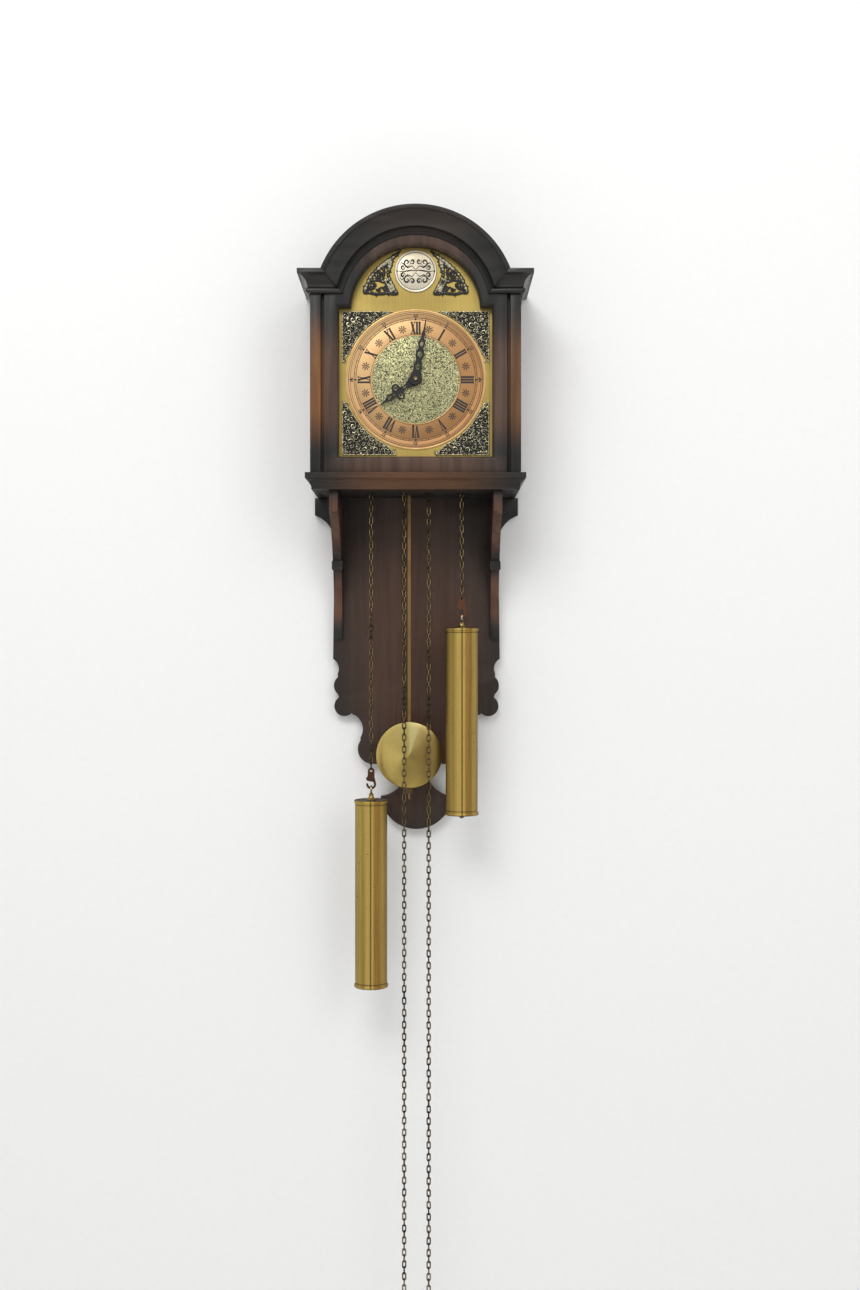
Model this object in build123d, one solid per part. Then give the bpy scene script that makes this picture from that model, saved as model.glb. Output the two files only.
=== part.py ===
from build123d import *
from math import atan2, cos, degrees, hypot, radians, sin, sqrt
import os

os.makedirs("parts", exist_ok=True)

# A weight-driven wall clock in an arched hood, in millimetres.
# X is to the right, +Y goes into the wall and +Z is up.
# The origin is the hanging hole, where its axis meets the back of the backboard.
# Depths are distances out from the wall, so a depth of d is at y = -d.

# Case
BOARD = 10.0  # thickness of the backboard and of the side panels
CASE_HALF = 109.0
CASE_FRONT = 100.0  # depth of the hood's front face
HOOD_BOTTOM = -207.0
HOOD_TOP = -16.0
ARCH_Z = -38.0  # centre of the arched moulding
HOLE_R = 5.0

# Front frame and dial opening
FRAME_BACK = 88.0
RAISED_BACK = 94.0
OPENING_HALF = 79.5
OPENING_BOTTOM = -190.0
SHOULDER_Z = -35.5
OPENING_ARCH_Z = -39.0
OPENING_ARCH_R = 67.0
GROOVE = (94.5, 98.0)  # the groove between the raised frame and the stiles
EDGE_BEVEL = 2.5

# Mouldings, as projection from the case and height
CORNICE_OUT = 12.5
CORNICE_TOP = 1.0
CORNICE_BOTTOM = -22.4
ARCH_OUTER_R = 104.8
ARCH_INNER_R = 76.8
BASE_OUT = 5.0
MOULD_BACK = CASE_FRONT - 10  # depth of the back of the front base moulding
SEAT_TOP = -212.0
SEAT_BOTTOM = -224.0

# Dial
DIAL_X, DIAL_Z = 0.0, -109.0
DIAL_BACK = 86.0
DIAL_FRONT = 88.0
RING_R, RING_INNER_R, CENTRE_R = 73.2, 46.2, 45.6
DIAL_HOLE_R = 4.2
CASTING = 1.8  # thickness of the corner and arch castings
BOSS_Z, BOSS_R = 3.8, 22.0

# Movement plates
PLATE_HALF = 58.0
PLATE_TOP = -40.0
BACK_PLATE = (38.0, 40.0)
FRONT_PLATE = (80.0, 82.0)
PIVOT_R, PIVOT_FIT = 0.75, 0.05
CENTRE_PIVOT_R = 1.2
STUD_R = 1.0  # stud that carries the minute wheel

# Chains and weights
CHAIN_DEPTH = 60.0
CHAIN_R = 1.2
SPROCKET_R = 17.5  # from the arbor to the middle of the chain
SPROCKET_Z = -150.0
LEFT_SPROCKET_X, RIGHT_SPROCKET_X = -30.0, 31.0
LEFT_LID_Z, RIGHT_LID_Z = -549.0, -367.0
LEFT_END_Z, RIGHT_END_Z = -1100.0, -1215.0
WEIGHT_R, RIM_R, WEIGHT_LENGTH, RIM_HEIGHT = 17.0, 18.0, 198.0, 5.0
HOOK_HEIGHT = 34.0
END_RING_R, END_RING_WIRE = 7.0, 1.1

# Pendulum and crutch
PIVOT_X, PIVOT_Z = -7.6, -55.0
SPRING_LOW = -68.0
CRUTCH_SPAN, CRUTCH_LOW = (35.0, 36.4), -110.0
ROD_DEPTH, BOB_Z, BOB_R, BOB_THICK = 30.0, -504.0, 35.8, 10.0

# Trains: teeth and module
GREAT_TEETH, GREAT_MODULE, SECOND_LEAVES = 64, 0.75, 10
SECOND_TEETH, SECOND_MODULE, CENTRE_LEAVES = 44, 0.8, 16
CENTRE_TEETH, CENTRE_MODULE, THIRD_LEAVES = 84, 0.5, 8
THIRD_TEETH, THIRD_MODULE, ESCAPE_LEAVES = 68, 0.45, 8
ESCAPE_TEETH, ESCAPE_R, ESCAPE_Z = 30, 13.0, -74.0
CANNON_LEAVES, MINUTE_TEETH, CANNON_MODULE = 20, 60, 0.4
MINUTE_LEAVES, HOUR_TEETH, HOUR_MODULE = 10, 40, 0.64

# Trains: where each wheel lies, as depths of its back and front
GREAT_SPAN = (50.0, 52.0)
SECOND_SPAN, SECOND_LEAF_SPAN = (46.0, 47.5), (49.0, 53.0)
CENTRE_SPAN, CENTRE_LEAF_SPAN = (70.0, 71.5), (45.0, 48.5)
THIRD_SPAN, THIRD_LEAF_SPAN = (66.0, 67.5), (69.0, 72.5)
ESCAPE_SPAN, ESCAPE_LEAF_SPAN = (42.0, 43.5), (65.0, 68.5)
CANNON_SPAN = (82.8, 83.8)
MINUTE_LEAF_SPAN, HOUR_SPAN = (83.8, 85.6), (84.4, 85.5)

# Hands: length, depths, and direction at rest in degrees from the right
MINUTE_LENGTH, MINUTE_SPAN, MINUTE_AT = 66.5, (93.8, 94.8), 80.1
HOUR_LENGTH, HOUR_HAND_SPAN, HOUR_AT = 46.4, (91.2, 92.2), -143.7


def polar(x, z, r, angle):
    return (x + r * cos(radians(angle)), z + r * sin(radians(angle)))


def outline(*steps):
    """A face in (x, z) from points and from arcs (x, z, radius, start angle, end angle)."""
    edges, first, here = [], None, None
    for step in steps:
        if len(step) == 2:
            start = end = step
        else:
            x, z, r, a, b = step
            start, end = polar(x, z, r, a), polar(x, z, r, b)
        if here and hypot(here[0] - start[0], here[1] - start[1]) > 1e-6:
            edges.append(Line(here, start))
        if len(step) > 2:
            edges.append(ThreePointArc(start, polar(x, z, r, (a + b) / 2), end))
        first, here = first or start, end
    if hypot(here[0] - first[0], here[1] - first[1]) > 1e-6:
        edges.append(Line(here, first))
    return make_face(Curve() + edges)


def slab(face, near, far):
    """A face in (x, z), made solid from depth near to depth far."""
    return extrude(Plane.XZ.offset(near) * face, far - near)


def block(x0, x1, near, far, low, high):
    centre = Pos((x0 + x1) / 2, -(near + far) / 2, (low + high) / 2)
    return centre * Box(x1 - x0, far - near, high - low)


def disc(x, z, r, near, far):
    return slab(Pos(x, z) * Circle(r), near, far)


def post(x, depth, r, low, high):
    return Pos(x, -depth, (low + high) / 2) * Cylinder(r, high - low)


def plan(*points):
    """A tall prism from points in (x, depth), for mitring the mouldings."""
    face = make_face(Polyline(*[(x, -d) for x, d in points], close=True))
    return Pos(0, 0, -300) * extrude(face, 400)


def both(shape):
    return shape + mirror(shape, about=Plane.YZ)


def write(name, *shapes):
    solids = [s for shape in shapes for s in shape.solids()]
    made = solids[0] if len(solids) == 1 else Compound(children=solids)
    export_step(made, f"parts/{name}.step")


def write_pair(name, shape):
    """The right-hand piece and its mirror image on the left."""
    write(f"{name}_right", shape)
    write(f"{name}_left", mirror(shape, about=Plane.YZ))


# ---- Backboard and consoles ----


def backboard():
    half = outline(
        (0, SEAT_BOTTOM),
        (111.3, SEAT_BOTTOM),
        (121.6, -273, 32, 108.8, 175.5),
        (97.6, -411.0, 12.5, 120, 205),
        (78.5, -429.5, 12.0, 50, -52),
        (78.9, -451.9, 11.1, 57, -137),
        (75.9, -477.1, 17.2, 110, 212),
        (47.9, -499, 16.4, 35, -90),
        (41.9, -519.3, 31.8, 173, 265),
        (0, -547.3, 39.5, -8, -90),
    )
    inner = outline(
        (0, SEAT_BOTTOM),
        (CASE_HALF - BOARD, SEAT_BOTTOM),
        (CASE_HALF - BOARD, HOOD_TOP),
        (0, OPENING_ARCH_Z, 76, 17.6, 90),
    )
    board = slab(both(half + inner), 0, BOARD)
    return board - disc(0, 0, HOLE_R, -1, BOARD + 1)


def console():
    """The S-shaped bracket under the hood, 9 mm thick, seen from the side."""
    low, collar = -378.5, (-294.0, -304.0)
    side = make_face(
        Curve()
        + [
            Line((BOARD, SEAT_BOTTOM), (92, SEAT_BOTTOM)),
            Line((92, SEAT_BOTTOM), (92, -246)),
            ThreePointArc((92, -246), (64, -261), (38, -288)),
            Line((38, -288), (34, collar[0])),
            Line((34, collar[0]), (34, collar[1])),
            Line((34, collar[1]), (27, collar[1])),
            ThreePointArc((27, collar[1]), (18, -330), (14, -360)),
            Line((14, -360), (14, low)),
            Line((14, low), (BOARD, low)),
            Line((BOARD, low), (BOARD, SEAT_BOTTOM)),
        ]
    )
    across = Plane(origin=(90, 0, 0), x_dir=(0, -1, 0), z_dir=(-1, 0, 0))
    band = block(79.5, 91, BOARD, 35.5, collar[1], collar[0])
    return extrude(across * side, 9) + chamfer(band.edges().filter_by(Axis.Y), 0.8)


write("backboard", backboard())
write_pair("console", console())

# ---- Hood: seat board, panels, roof ----

strand_xs = [
    x + side * SPROCKET_R
    for x in (LEFT_SPROCKET_X, RIGHT_SPROCKET_X)
    for side in (-1, 1)
]
inner_half = CASE_HALF - BOARD
seat = block(-inner_half, inner_half, BOARD, MOULD_BACK, SEAT_BOTTOM, SEAT_TOP)
for x in strand_xs:
    seat -= post(x, CHAIN_DEPTH, 5.0, SEAT_BOTTOM - 1, SEAT_TOP + 1)
seat -= block(PIVOT_X - 16, PIVOT_X + 16, 22, 38, SEAT_BOTTOM - 1, SEAT_TOP + 1)
write("seat_board", seat)

write_pair(
    "side_panel", block(inner_half, CASE_HALF, 0, FRAME_BACK, HOOD_BOTTOM, HOOD_TOP)
)

ROOF = (78.0, 84.0)
roof_face = (
    (Pos(0, ARCH_Z) * Circle(ROOF[1]) - Pos(0, ARCH_Z) * Circle(ROOF[0]))
    & Pos(0, HOOD_TOP + 50) * Rectangle(200, 100)
)
write("arch_roof", slab(roof_face, 0, FRAME_BACK))
roof_foot = sqrt(ROOF[1] ** 2 - (HOOD_TOP - ARCH_Z) ** 2)
write(
    "top_boards",
    both(block(roof_foot + 0.5, CASE_HALF, 0, FRAME_BACK, HOOD_TOP, HOOD_TOP + 6)),
)

# ---- Front frame and raised dial frame ----


def opening(grow=0.0):
    half = outline(
        (0, OPENING_BOTTOM - grow),
        (OPENING_HALF + grow, OPENING_BOTTOM - grow),
        (OPENING_HALF + grow, SHOULDER_Z + grow),
        (0, OPENING_ARCH_Z, OPENING_ARCH_R + grow, 3.0 + 0.8 * grow, 90),
    )
    return both(half)


def arched(half_width, shoulder, low, radius):
    """A board outline with a flat shoulder and an arch about the moulding's centre."""
    foot = degrees(atan2(shoulder - ARCH_Z, sqrt(radius**2 - (shoulder - ARCH_Z) ** 2)))
    return both(
        outline(
            (0, low),
            (half_width, low),
            (half_width, shoulder),
            (0, ARCH_Z, radius, foot, 90),
        )
    )


shoulder = CORNICE_TOP - 2
backing = arched(CASE_HALF, shoulder, HOOD_BOTTOM, 98) - opening()
backing = slab(backing, FRAME_BACK, RAISED_BACK)
stile = block(GROOVE[1], CASE_HALF, RAISED_BACK, CASE_FRONT, HOOD_BOTTOM, shoulder)
write("front_frame", backing + stile + mirror(stile, about=Plane.YZ))

raised = arched(GROOVE[0], shoulder, HOOD_BOTTOM, 96) - opening()
raised = slab(raised, RAISED_BACK, CASE_FRONT)
rim = raised.faces().sort_by(Axis.Y)[0].inner_wires()[0].edges()
write("dial_frame", chamfer(rim, EDGE_BEVEL))

# ---- Mouldings ----


def front_strip(face):
    """A moulding profile in (projection, height) run across the front."""
    place = Plane(origin=(130, -CASE_FRONT, 0), x_dir=(0, -1, 0), z_dir=(-1, 0, 0))
    return extrude(place * face, 260)


def side_strip(face):
    """The same profile run from the wall along the right side."""
    place = Plane(origin=(CASE_HALF, 0, 0), x_dir=(1, 0, 0), z_dir=(0, -1, 0))
    return extrude(place * face, 130)


cornice = make_face(
    Curve()
    + [
        Line((0, CORNICE_BOTTOM), (1.5, CORNICE_BOTTOM)),
        ThreePointArc((1.5, CORNICE_BOTTOM), (4.2, -19.4), (1.5, -16.4)),
        Line((1.5, -16.4), (2.5, -16)),
        ThreePointArc((2.5, -16), (4.9, -8.5), (11.3, -3.6)),
        Line((11.3, -3.6), (CORNICE_OUT, -3.6)),
        Line((CORNICE_OUT, -3.6), (CORNICE_OUT, CORNICE_TOP)),
        Line((CORNICE_OUT, CORNICE_TOP), (0, CORNICE_TOP)),
        Line((0, CORNICE_TOP), (0, CORNICE_BOTTOM)),
    ]
)
base = make_face(
    Curve()
    + [
        Line((-BOARD, SEAT_BOTTOM), (-1, SEAT_BOTTOM)),
        ThreePointArc((-1, SEAT_BOTTOM), (0.2, -217.5), (3.8, -214)),
        Line((3.8, -214), (3.8, -213)),
        Line((3.8, -213), (BASE_OUT, -213)),
        Line((BASE_OUT, -213), (BASE_OUT, HOOD_BOTTOM)),
        Line((BASE_OUT, HOOD_BOTTOM), (-BOARD, HOOD_BOTTOM)),
        Line((-BOARD, HOOD_BOTTOM), (-BOARD, SEAT_BOTTOM)),
    ]
)
corner = CASE_HALF - CASE_FRONT  # x minus depth along the mitre at each corner
mitre_in, mitre_out = (MOULD_BACK + corner, MOULD_BACK), (130 + corner, 130)
front_plan = plan((0, MOULD_BACK), mitre_in, mitre_out, (0, 130))
side_plan = plan(mitre_in, mitre_out, (200, 130), (200, 0), (90, 0), (90, 80))

mitre_foot = sqrt(ARCH_INNER_R**2 - (CORNICE_BOTTOM - ARCH_Z) ** 2)
mitre_top = sqrt(ARCH_OUTER_R**2 - (CORNICE_TOP - ARCH_Z) ** 2)
slope = (mitre_top - mitre_foot) / (CORNICE_TOP - CORNICE_BOTTOM)
high = CORNICE_TOP + 100
above = both(
    outline(
        (0, CORNICE_BOTTOM),
        (mitre_foot, CORNICE_BOTTOM),
        (mitre_foot + slope * (high - CORNICE_BOTTOM), high),
        (0, high),
    )
)
above = slab(above, CASE_FRONT - 5, CASE_FRONT + 20)

cornice_front = (front_strip(cornice) & front_plan) - above
write("cornice_fronts", both(cornice_front))
write("cornice_returns", both(side_strip(cornice) & side_plan))

arch_profile = make_face(
    Curve()
    + [
        Line((ARCH_INNER_R, CASE_FRONT), (ARCH_INNER_R, CASE_FRONT + 1.5)),
        Line((ARCH_INNER_R, CASE_FRONT + 1.5), (78.4, CASE_FRONT + 1.5)),
        ThreePointArc((78.4, CASE_FRONT + 1.5), (81.9, 103.6), (83.6, CASE_FRONT + 7.4)),
        Line((83.6, CASE_FRONT + 7.4), (84.6, CASE_FRONT + 7.4)),
        ThreePointArc((84.6, CASE_FRONT + 7.4), (92.6, 108.6), (100.3, CASE_FRONT + 11.3)),
        Line((100.3, CASE_FRONT + 11.3), (100.3, CASE_FRONT + CORNICE_OUT)),
        Line((100.3, CASE_FRONT + CORNICE_OUT), (ARCH_OUTER_R, CASE_FRONT + CORNICE_OUT)),
        Line((ARCH_OUTER_R, CASE_FRONT + CORNICE_OUT), (ARCH_OUTER_R, CASE_FRONT)),
        Line((ARCH_OUTER_R, CASE_FRONT), (ARCH_INNER_R, CASE_FRONT)),
    ]
)
arch_plane = Plane(origin=(0, 0, ARCH_Z), x_dir=(1, 0, 0), z_dir=(0, 0, 1))
arch_axis = Axis((0, 0, ARCH_Z), (0, 1, 0))
arch_ring = revolve(arch_plane * mirror(arch_profile, about=Plane.XZ), arch_axis, 360)
write("cornice_arch", arch_ring & above)

write("base_moulding_front", front_strip(base) & both(front_plan))
write_pair("base_moulding", side_strip(base) & side_plan)

# ---- Dial ----

dial = slab(opening(2.0), DIAL_BACK, DIAL_FRONT)
dial -= disc(DIAL_X, DIAL_Z, DIAL_HOLE_R, 80, 90)
write("dial_plate", dial)
ring = disc(DIAL_X, DIAL_Z, RING_R, DIAL_FRONT, DIAL_FRONT + 0.8)
write("time_ring", ring - disc(DIAL_X, DIAL_Z, RING_INNER_R, 80, 100))
centre = disc(DIAL_X, DIAL_Z, CENTRE_R, DIAL_FRONT, DIAL_FRONT + 0.6)
write("dial_centre", centre - disc(DIAL_X, DIAL_Z, DIAL_HOLE_R, 80, 100))


def corner_spandrel():
    """The casting in the lower right corner: a bracket with a scalloped inner edge."""
    leg, corner_x, corner_z = 53.0, 76.5, OPENING_BOTTOM + 2.5
    square = outline(
        (corner_x, corner_z),
        (corner_x, corner_z + leg),
        (corner_x - 4, corner_z + leg),
        (corner_x - leg, corner_z + 4),
        (corner_x - leg, corner_z),
    )
    square += Pos(corner_x - 21, corner_z + 21) * Circle(9)
    casting = slab(square, DIAL_FRONT, DIAL_FRONT + CASTING)
    return casting - disc(DIAL_X, DIAL_Z, RING_R + 0.8, 80, 100)


low_corner = corner_spandrel()
middle = (OPENING_BOTTOM + SHOULDER_Z) / 2
high_corner = Pos(0, 0, 2 * middle) * mirror(low_corner, about=Plane.XY)
high_corner -= disc(DIAL_X, DIAL_Z, RING_R + 0.8, 80, 100)
write("corner_spandrels", both(low_corner), both(high_corner))
arch_casting = outline(
    (17.5, -21),
    (54.5, -20.5),
    (0, OPENING_ARCH_Z, 61.5, 27, 66),
    (14.7, 26),
    (0, BOSS_Z, BOSS_R + 4, 40, -45),
)
write("arch_spandrels", both(slab(arch_casting, DIAL_FRONT, DIAL_FRONT + CASTING)))
boss = disc(0, BOSS_Z, BOSS_R, DIAL_FRONT, DIAL_FRONT + 1.5)
write("boss", chamfer(boss.faces().sort_by(Axis.Y)[0].edges(), 0.6))
feet = [disc(x, z, 2.5, FRONT_PLATE[1], DIAL_BACK) for x in (-50, 50) for z in (-55, -195)]
write("dial_feet", *feet)

# ---- Wheel centres ----


def meet(a, ra, b, rb, side):
    """The point ra from a and rb from b, to the left (1) or right (-1) of the way from a to b."""
    dx, dz = b[0] - a[0], b[1] - a[1]
    d = hypot(dx, dz)
    along = (ra**2 - rb**2 + d**2) / (2 * d)
    off = sqrt(ra**2 - along**2) * side
    return (a[0] + (along * dx - off * dz) / d, a[1] + (along * dz + off * dx) / d)


def spacing(wheel, leaves, module):
    return (wheel + leaves) * module / 2


CENTRE = (DIAL_X, DIAL_Z)
GOING = (LEFT_SPROCKET_X, SPROCKET_Z)
STRIKE = (RIGHT_SPROCKET_X, SPROCKET_Z)
ESCAPE = (PIVOT_X, ESCAPE_Z)
ANCHOR = (PIVOT_X, PIVOT_Z)
SECOND = meet(
    GOING,
    spacing(GREAT_TEETH, SECOND_LEAVES, GREAT_MODULE),
    CENTRE,
    spacing(SECOND_TEETH, CENTRE_LEAVES, SECOND_MODULE),
    1,
)
THIRD = meet(
    CENTRE,
    spacing(CENTRE_TEETH, THIRD_LEAVES, CENTRE_MODULE),
    ESCAPE,
    spacing(THIRD_TEETH, ESCAPE_LEAVES, THIRD_MODULE),
    -1,
)
MINUTE = polar(*CENTRE, spacing(MINUTE_TEETH, CANNON_LEAVES, CANNON_MODULE), 215)


def meshed(phase, teeth, other, a, b):
    """The phase, in degrees, of a wheel of other teeth at b that meshes with one at a."""
    line = degrees(atan2(b[1] - a[1], b[0] - a[0]))
    pitch = 360 / teeth
    ahead = ((phase - line) / pitch) % 1
    return line + 180 - (ahead + 0.5) * 360 / other


def toothed(at, teeth, module, phase, near, far, hole=0.0):
    """A toothed disc with straight-flanked, well-relieved teeth."""
    pitch = 360 / teeth
    r = teeth * module / 2
    tip, root = r + 0.75 * module, r - 1.2 * module
    points = []
    for k in range(teeth):
        middle = phase + k * pitch
        for radius, across in ((root, -0.24), (tip, -0.08), (tip, 0.08), (root, 0.24)):
            points.append(polar(*at, radius, middle + across * pitch))
    face = make_face(Polyline(*points, close=True))
    if hole:
        face -= Pos(*at) * Circle(hole)
    return slab(face, near, far)


def crossings(at, inner, outer, near, far, count=5):
    """The openings between a wheel's spokes."""
    gap = 360 / count
    cut = Part()
    for k in range(count):
        a, b = k * gap + 13, (k + 1) * gap - 13
        face = outline((*at, outer, a, b), (*at, inner, b - 8, a + 8))
        cut += slab(face, near - 1, far + 1)
    return cut


def arbor(at, r=1.5):
    """An arbor between the plates, with a pivot in each."""
    shaft = disc(*at, r, BACK_PLATE[1] + 0.3, FRONT_PLATE[0] - 0.3)
    return shaft + disc(*at, PIVOT_R, BACK_PLATE[0] - 0.5, FRONT_PLATE[1] + 0.5)


# ---- Going train ----

great = toothed(GOING, GREAT_TEETH, GREAT_MODULE, 0, *GREAT_SPAN, hole=4.05)
great -= crossings(GOING, 8, 20.5, *GREAT_SPAN)
write("going_great_wheel", great)

phase = meshed(0, GREAT_TEETH, SECOND_LEAVES, GOING, SECOND)
second = arbor(SECOND)
second += toothed(SECOND, SECOND_LEAVES, GREAT_MODULE, phase, *SECOND_LEAF_SPAN)
wheel = toothed(SECOND, SECOND_TEETH, SECOND_MODULE, 0, *SECOND_SPAN)
second += wheel - crossings(SECOND, 5, 14.5, *SECOND_SPAN)
write("intermediate_wheel", second)

phase = meshed(0, SECOND_TEETH, CENTRE_LEAVES, SECOND, CENTRE)
centre_wheel = disc(*CENTRE, 2.0, BACK_PLATE[1] + 0.3, FRONT_PLATE[0] - 0.3)
centre_wheel += disc(*CENTRE, CENTRE_PIVOT_R, BACK_PLATE[0] - 0.5, 95.6)
centre_wheel += toothed(CENTRE, CENTRE_LEAVES, SECOND_MODULE, phase, *CENTRE_LEAF_SPAN)
wheel = toothed(CENTRE, CENTRE_TEETH, CENTRE_MODULE, 0, *CENTRE_SPAN)
centre_wheel += wheel - crossings(CENTRE, 5, 18, *CENTRE_SPAN)
write("centre_wheel", centre_wheel)

phase = meshed(0, CENTRE_TEETH, THIRD_LEAVES, CENTRE, THIRD)
third = arbor(THIRD, 1.0)
third += toothed(THIRD, THIRD_LEAVES, CENTRE_MODULE, phase, *THIRD_LEAF_SPAN)
wheel = toothed(THIRD, THIRD_TEETH, THIRD_MODULE, 0, *THIRD_SPAN)
third += wheel - crossings(THIRD, 4, 12.8, *THIRD_SPAN, count=4)
write("third_wheel", third)

phase = meshed(0, THIRD_TEETH, ESCAPE_LEAVES, THIRD, ESCAPE)
escape = arbor(ESCAPE, 1.0)
escape += toothed(ESCAPE, ESCAPE_LEAVES, THIRD_MODULE, phase, *ESCAPE_LEAF_SPAN)
root = ESCAPE_R - 3
hooked = ((root, -0.1), (ESCAPE_R, 0.0), (ESCAPE_R, 0.08), (root, 0.55))
points = []
for k in range(ESCAPE_TEETH):
    for radius, turn in hooked:
        points.append(polar(*ESCAPE, radius, -(k + turn) * 360 / ESCAPE_TEETH))
wheel = slab(make_face(Polyline(*points, close=True)), *ESCAPE_SPAN)
escape += wheel - crossings(ESCAPE, 3.5, 8.2, *ESCAPE_SPAN, count=4)
write("escape_wheel", escape)

# ---- Anchor, crutch and pendulum ----

anchor = arbor(ANCHOR, 1.2)
reach = ESCAPE_R + 1.0  # the pallets stand just clear of the tips over the whole swing
arms = Part()
for side in (-1, 1):
    toe = polar(*ESCAPE, reach, 90 - side * 42)
    heel = polar(*ESCAPE, reach + 2.2, 90 - side * 42)
    hip = (PIVOT_X + side * 1.5, PIVOT_Z + 2.5)
    waist = (PIVOT_X + side * 1.5, PIVOT_Z - 1.5)
    arms += slab(make_face(Polyline(hip, heel, toe, waist, close=True)), *ESCAPE_SPAN)
anchor += arms + disc(*ANCHOR, 3.0, *ESCAPE_SPAN)
anchor += disc(*ANCHOR, PIVOT_R, CRUTCH_SPAN[0], BACK_PLATE[0])
anchor += block(PIVOT_X - 1.2, PIVOT_X + 1.2, *CRUTCH_SPAN, CRUTCH_LOW, PIVOT_Z + 2)
fork = CRUTCH_LOW - 1.5, CRUTCH_LOW + 1.5
anchor += block(PIVOT_X - 2.9, PIVOT_X + 2.9, *CRUTCH_SPAN, *fork)
for side in (-1, 1):
    x = PIVOT_X + side * 2.4
    anchor += block(x - 0.5, x + 0.5, 28.6, CRUTCH_SPAN[1], *fork)
write("anchor", anchor)

cock = block(PIVOT_X - 9, PIVOT_X + 9, 36.5, BACK_PLATE[0], -50, -42)
cock += block(PIVOT_X - 5, PIVOT_X + 5, 26, BACK_PLATE[0], -50, -44)
cock -= block(PIVOT_X - 1.3, PIVOT_X + 1.3, 25, 34, -51, -43)
write("pendulum_cock", cock)

spring = block(PIVOT_X - 0.1, PIVOT_X + 0.1, 27.5, 32.5, SPRING_LOW, -45.5)
write("suspension_spring", spring)
bob_low, rod_low = BOB_Z - BOB_R, BOB_Z - BOB_R - 12
rod_span = ROD_DEPTH - 0.8, ROD_DEPTH + 0.8
rod = block(PIVOT_X - 1.65, PIVOT_X + 1.65, *rod_span, bob_low, SPRING_LOW)
rod += post(PIVOT_X, ROD_DEPTH, 1.0, rod_low, bob_low)
bob = Pos(PIVOT_X, -ROD_DEPTH, BOB_Z) * Rot(90, 0, 0) * Cylinder(BOB_R, BOB_THICK)
bob = fillet(bob.edges(), 3.4) - rod
write("pendulum_rod", rod)
write("pendulum_bob", bob)
nut = post(PIVOT_X, ROD_DEPTH, 3.6, bob_low - 6, bob_low)
write("rating_nut", nut - post(PIVOT_X, ROD_DEPTH, 1.0, bob_low - 7, bob_low + 1))

# ---- Chain wheels ----


def chain_wheel(at, near):
    """A grooved chain wheel on its arbor; near is the depth where the arbor's collar starts."""
    wheel = disc(*at, 15.6, 57.5, 62.5)
    wheel += disc(*at, SPROCKET_R, 56, 57.5) + disc(*at, SPROCKET_R, 62.5, 64)
    return wheel + disc(*at, 4.0, near, 56) + arbor(at, 2.5)


write("going_chain_wheel", chain_wheel(GOING, 49.5))
write("strike_chain_wheel", chain_wheel(STRIKE, 49.5))
strike_great = toothed(STRIKE, GREAT_TEETH, GREAT_MODULE, 0, *GREAT_SPAN, hole=4.0)
write("strike_great_wheel", strike_great - crossings(STRIKE, 8, 20.5, *GREAT_SPAN))

# ---- Motion work and hands ----

write(
    "cannon_pinion",
    disc(*CENTRE, 1.9, 82.6, 95.0)
    + toothed(CENTRE, CANNON_LEAVES, CANNON_MODULE, 0, *CANNON_SPAN)
    - disc(*CENTRE, CENTRE_PIVOT_R + PIVOT_FIT, 80, 100),
)
phase = meshed(0, CANNON_LEAVES, MINUTE_TEETH, CENTRE, MINUTE)
minute_wheel = toothed(MINUTE, MINUTE_TEETH, CANNON_MODULE, phase, *CANNON_SPAN)
minute_wheel += toothed(MINUTE, MINUTE_LEAVES, HOUR_MODULE, 0, *MINUTE_LEAF_SPAN)
minute_wheel -= disc(*MINUTE, STUD_R + PIVOT_FIT, 80, 90)
write("minute_wheel", minute_wheel)
phase = meshed(0, MINUTE_LEAVES, HOUR_TEETH, MINUTE, CENTRE)
hour_wheel = toothed(CENTRE, HOUR_TEETH, HOUR_MODULE, phase, *HOUR_SPAN)
hour_wheel += disc(*CENTRE, 3.2, HOUR_SPAN[0], 92.4)
write("hour_wheel", hour_wheel - disc(*CENTRE, 1.97, 80, 100))


def hand(angle, length, hub, hole, loops, near, far):
    """A pierced hand: a hub, a stem and rings along it, drawn to the right, then turned."""
    neck = length - 9
    stem = Polyline((0, 1.5), (neck, 0.8), (length, 0), (neck, -0.8), (0, -1.5), close=True)
    face = Circle(hub) + make_face(stem)
    for at, r in loops:
        face += Pos(at, 0) * (Circle(r) - Circle(r - 1.4))
    face -= Circle(hole)
    return slab(Pos(*CENTRE) * Rot(0, 0, angle) * face, near, far)


minute_loops = ((14, 4.2), (25, 5.0), (38, 3.6))
hour_loops = ((12, 4.4), (24, 6.6), (35, 4.0))
write("minute_hand", hand(MINUTE_AT, MINUTE_LENGTH, 5.5, 1.9, minute_loops, *MINUTE_SPAN))
write("hour_hand", hand(HOUR_AT, HOUR_LENGTH, 6.2, 3.2, hour_loops, *HOUR_HAND_SPAN))
write("hand_nut", disc(*CENTRE, 2.6, 95.1, 97.0) - disc(*CENTRE, CENTRE_PIVOT_R, 90, 95.6))

# ---- Plates ----

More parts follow.
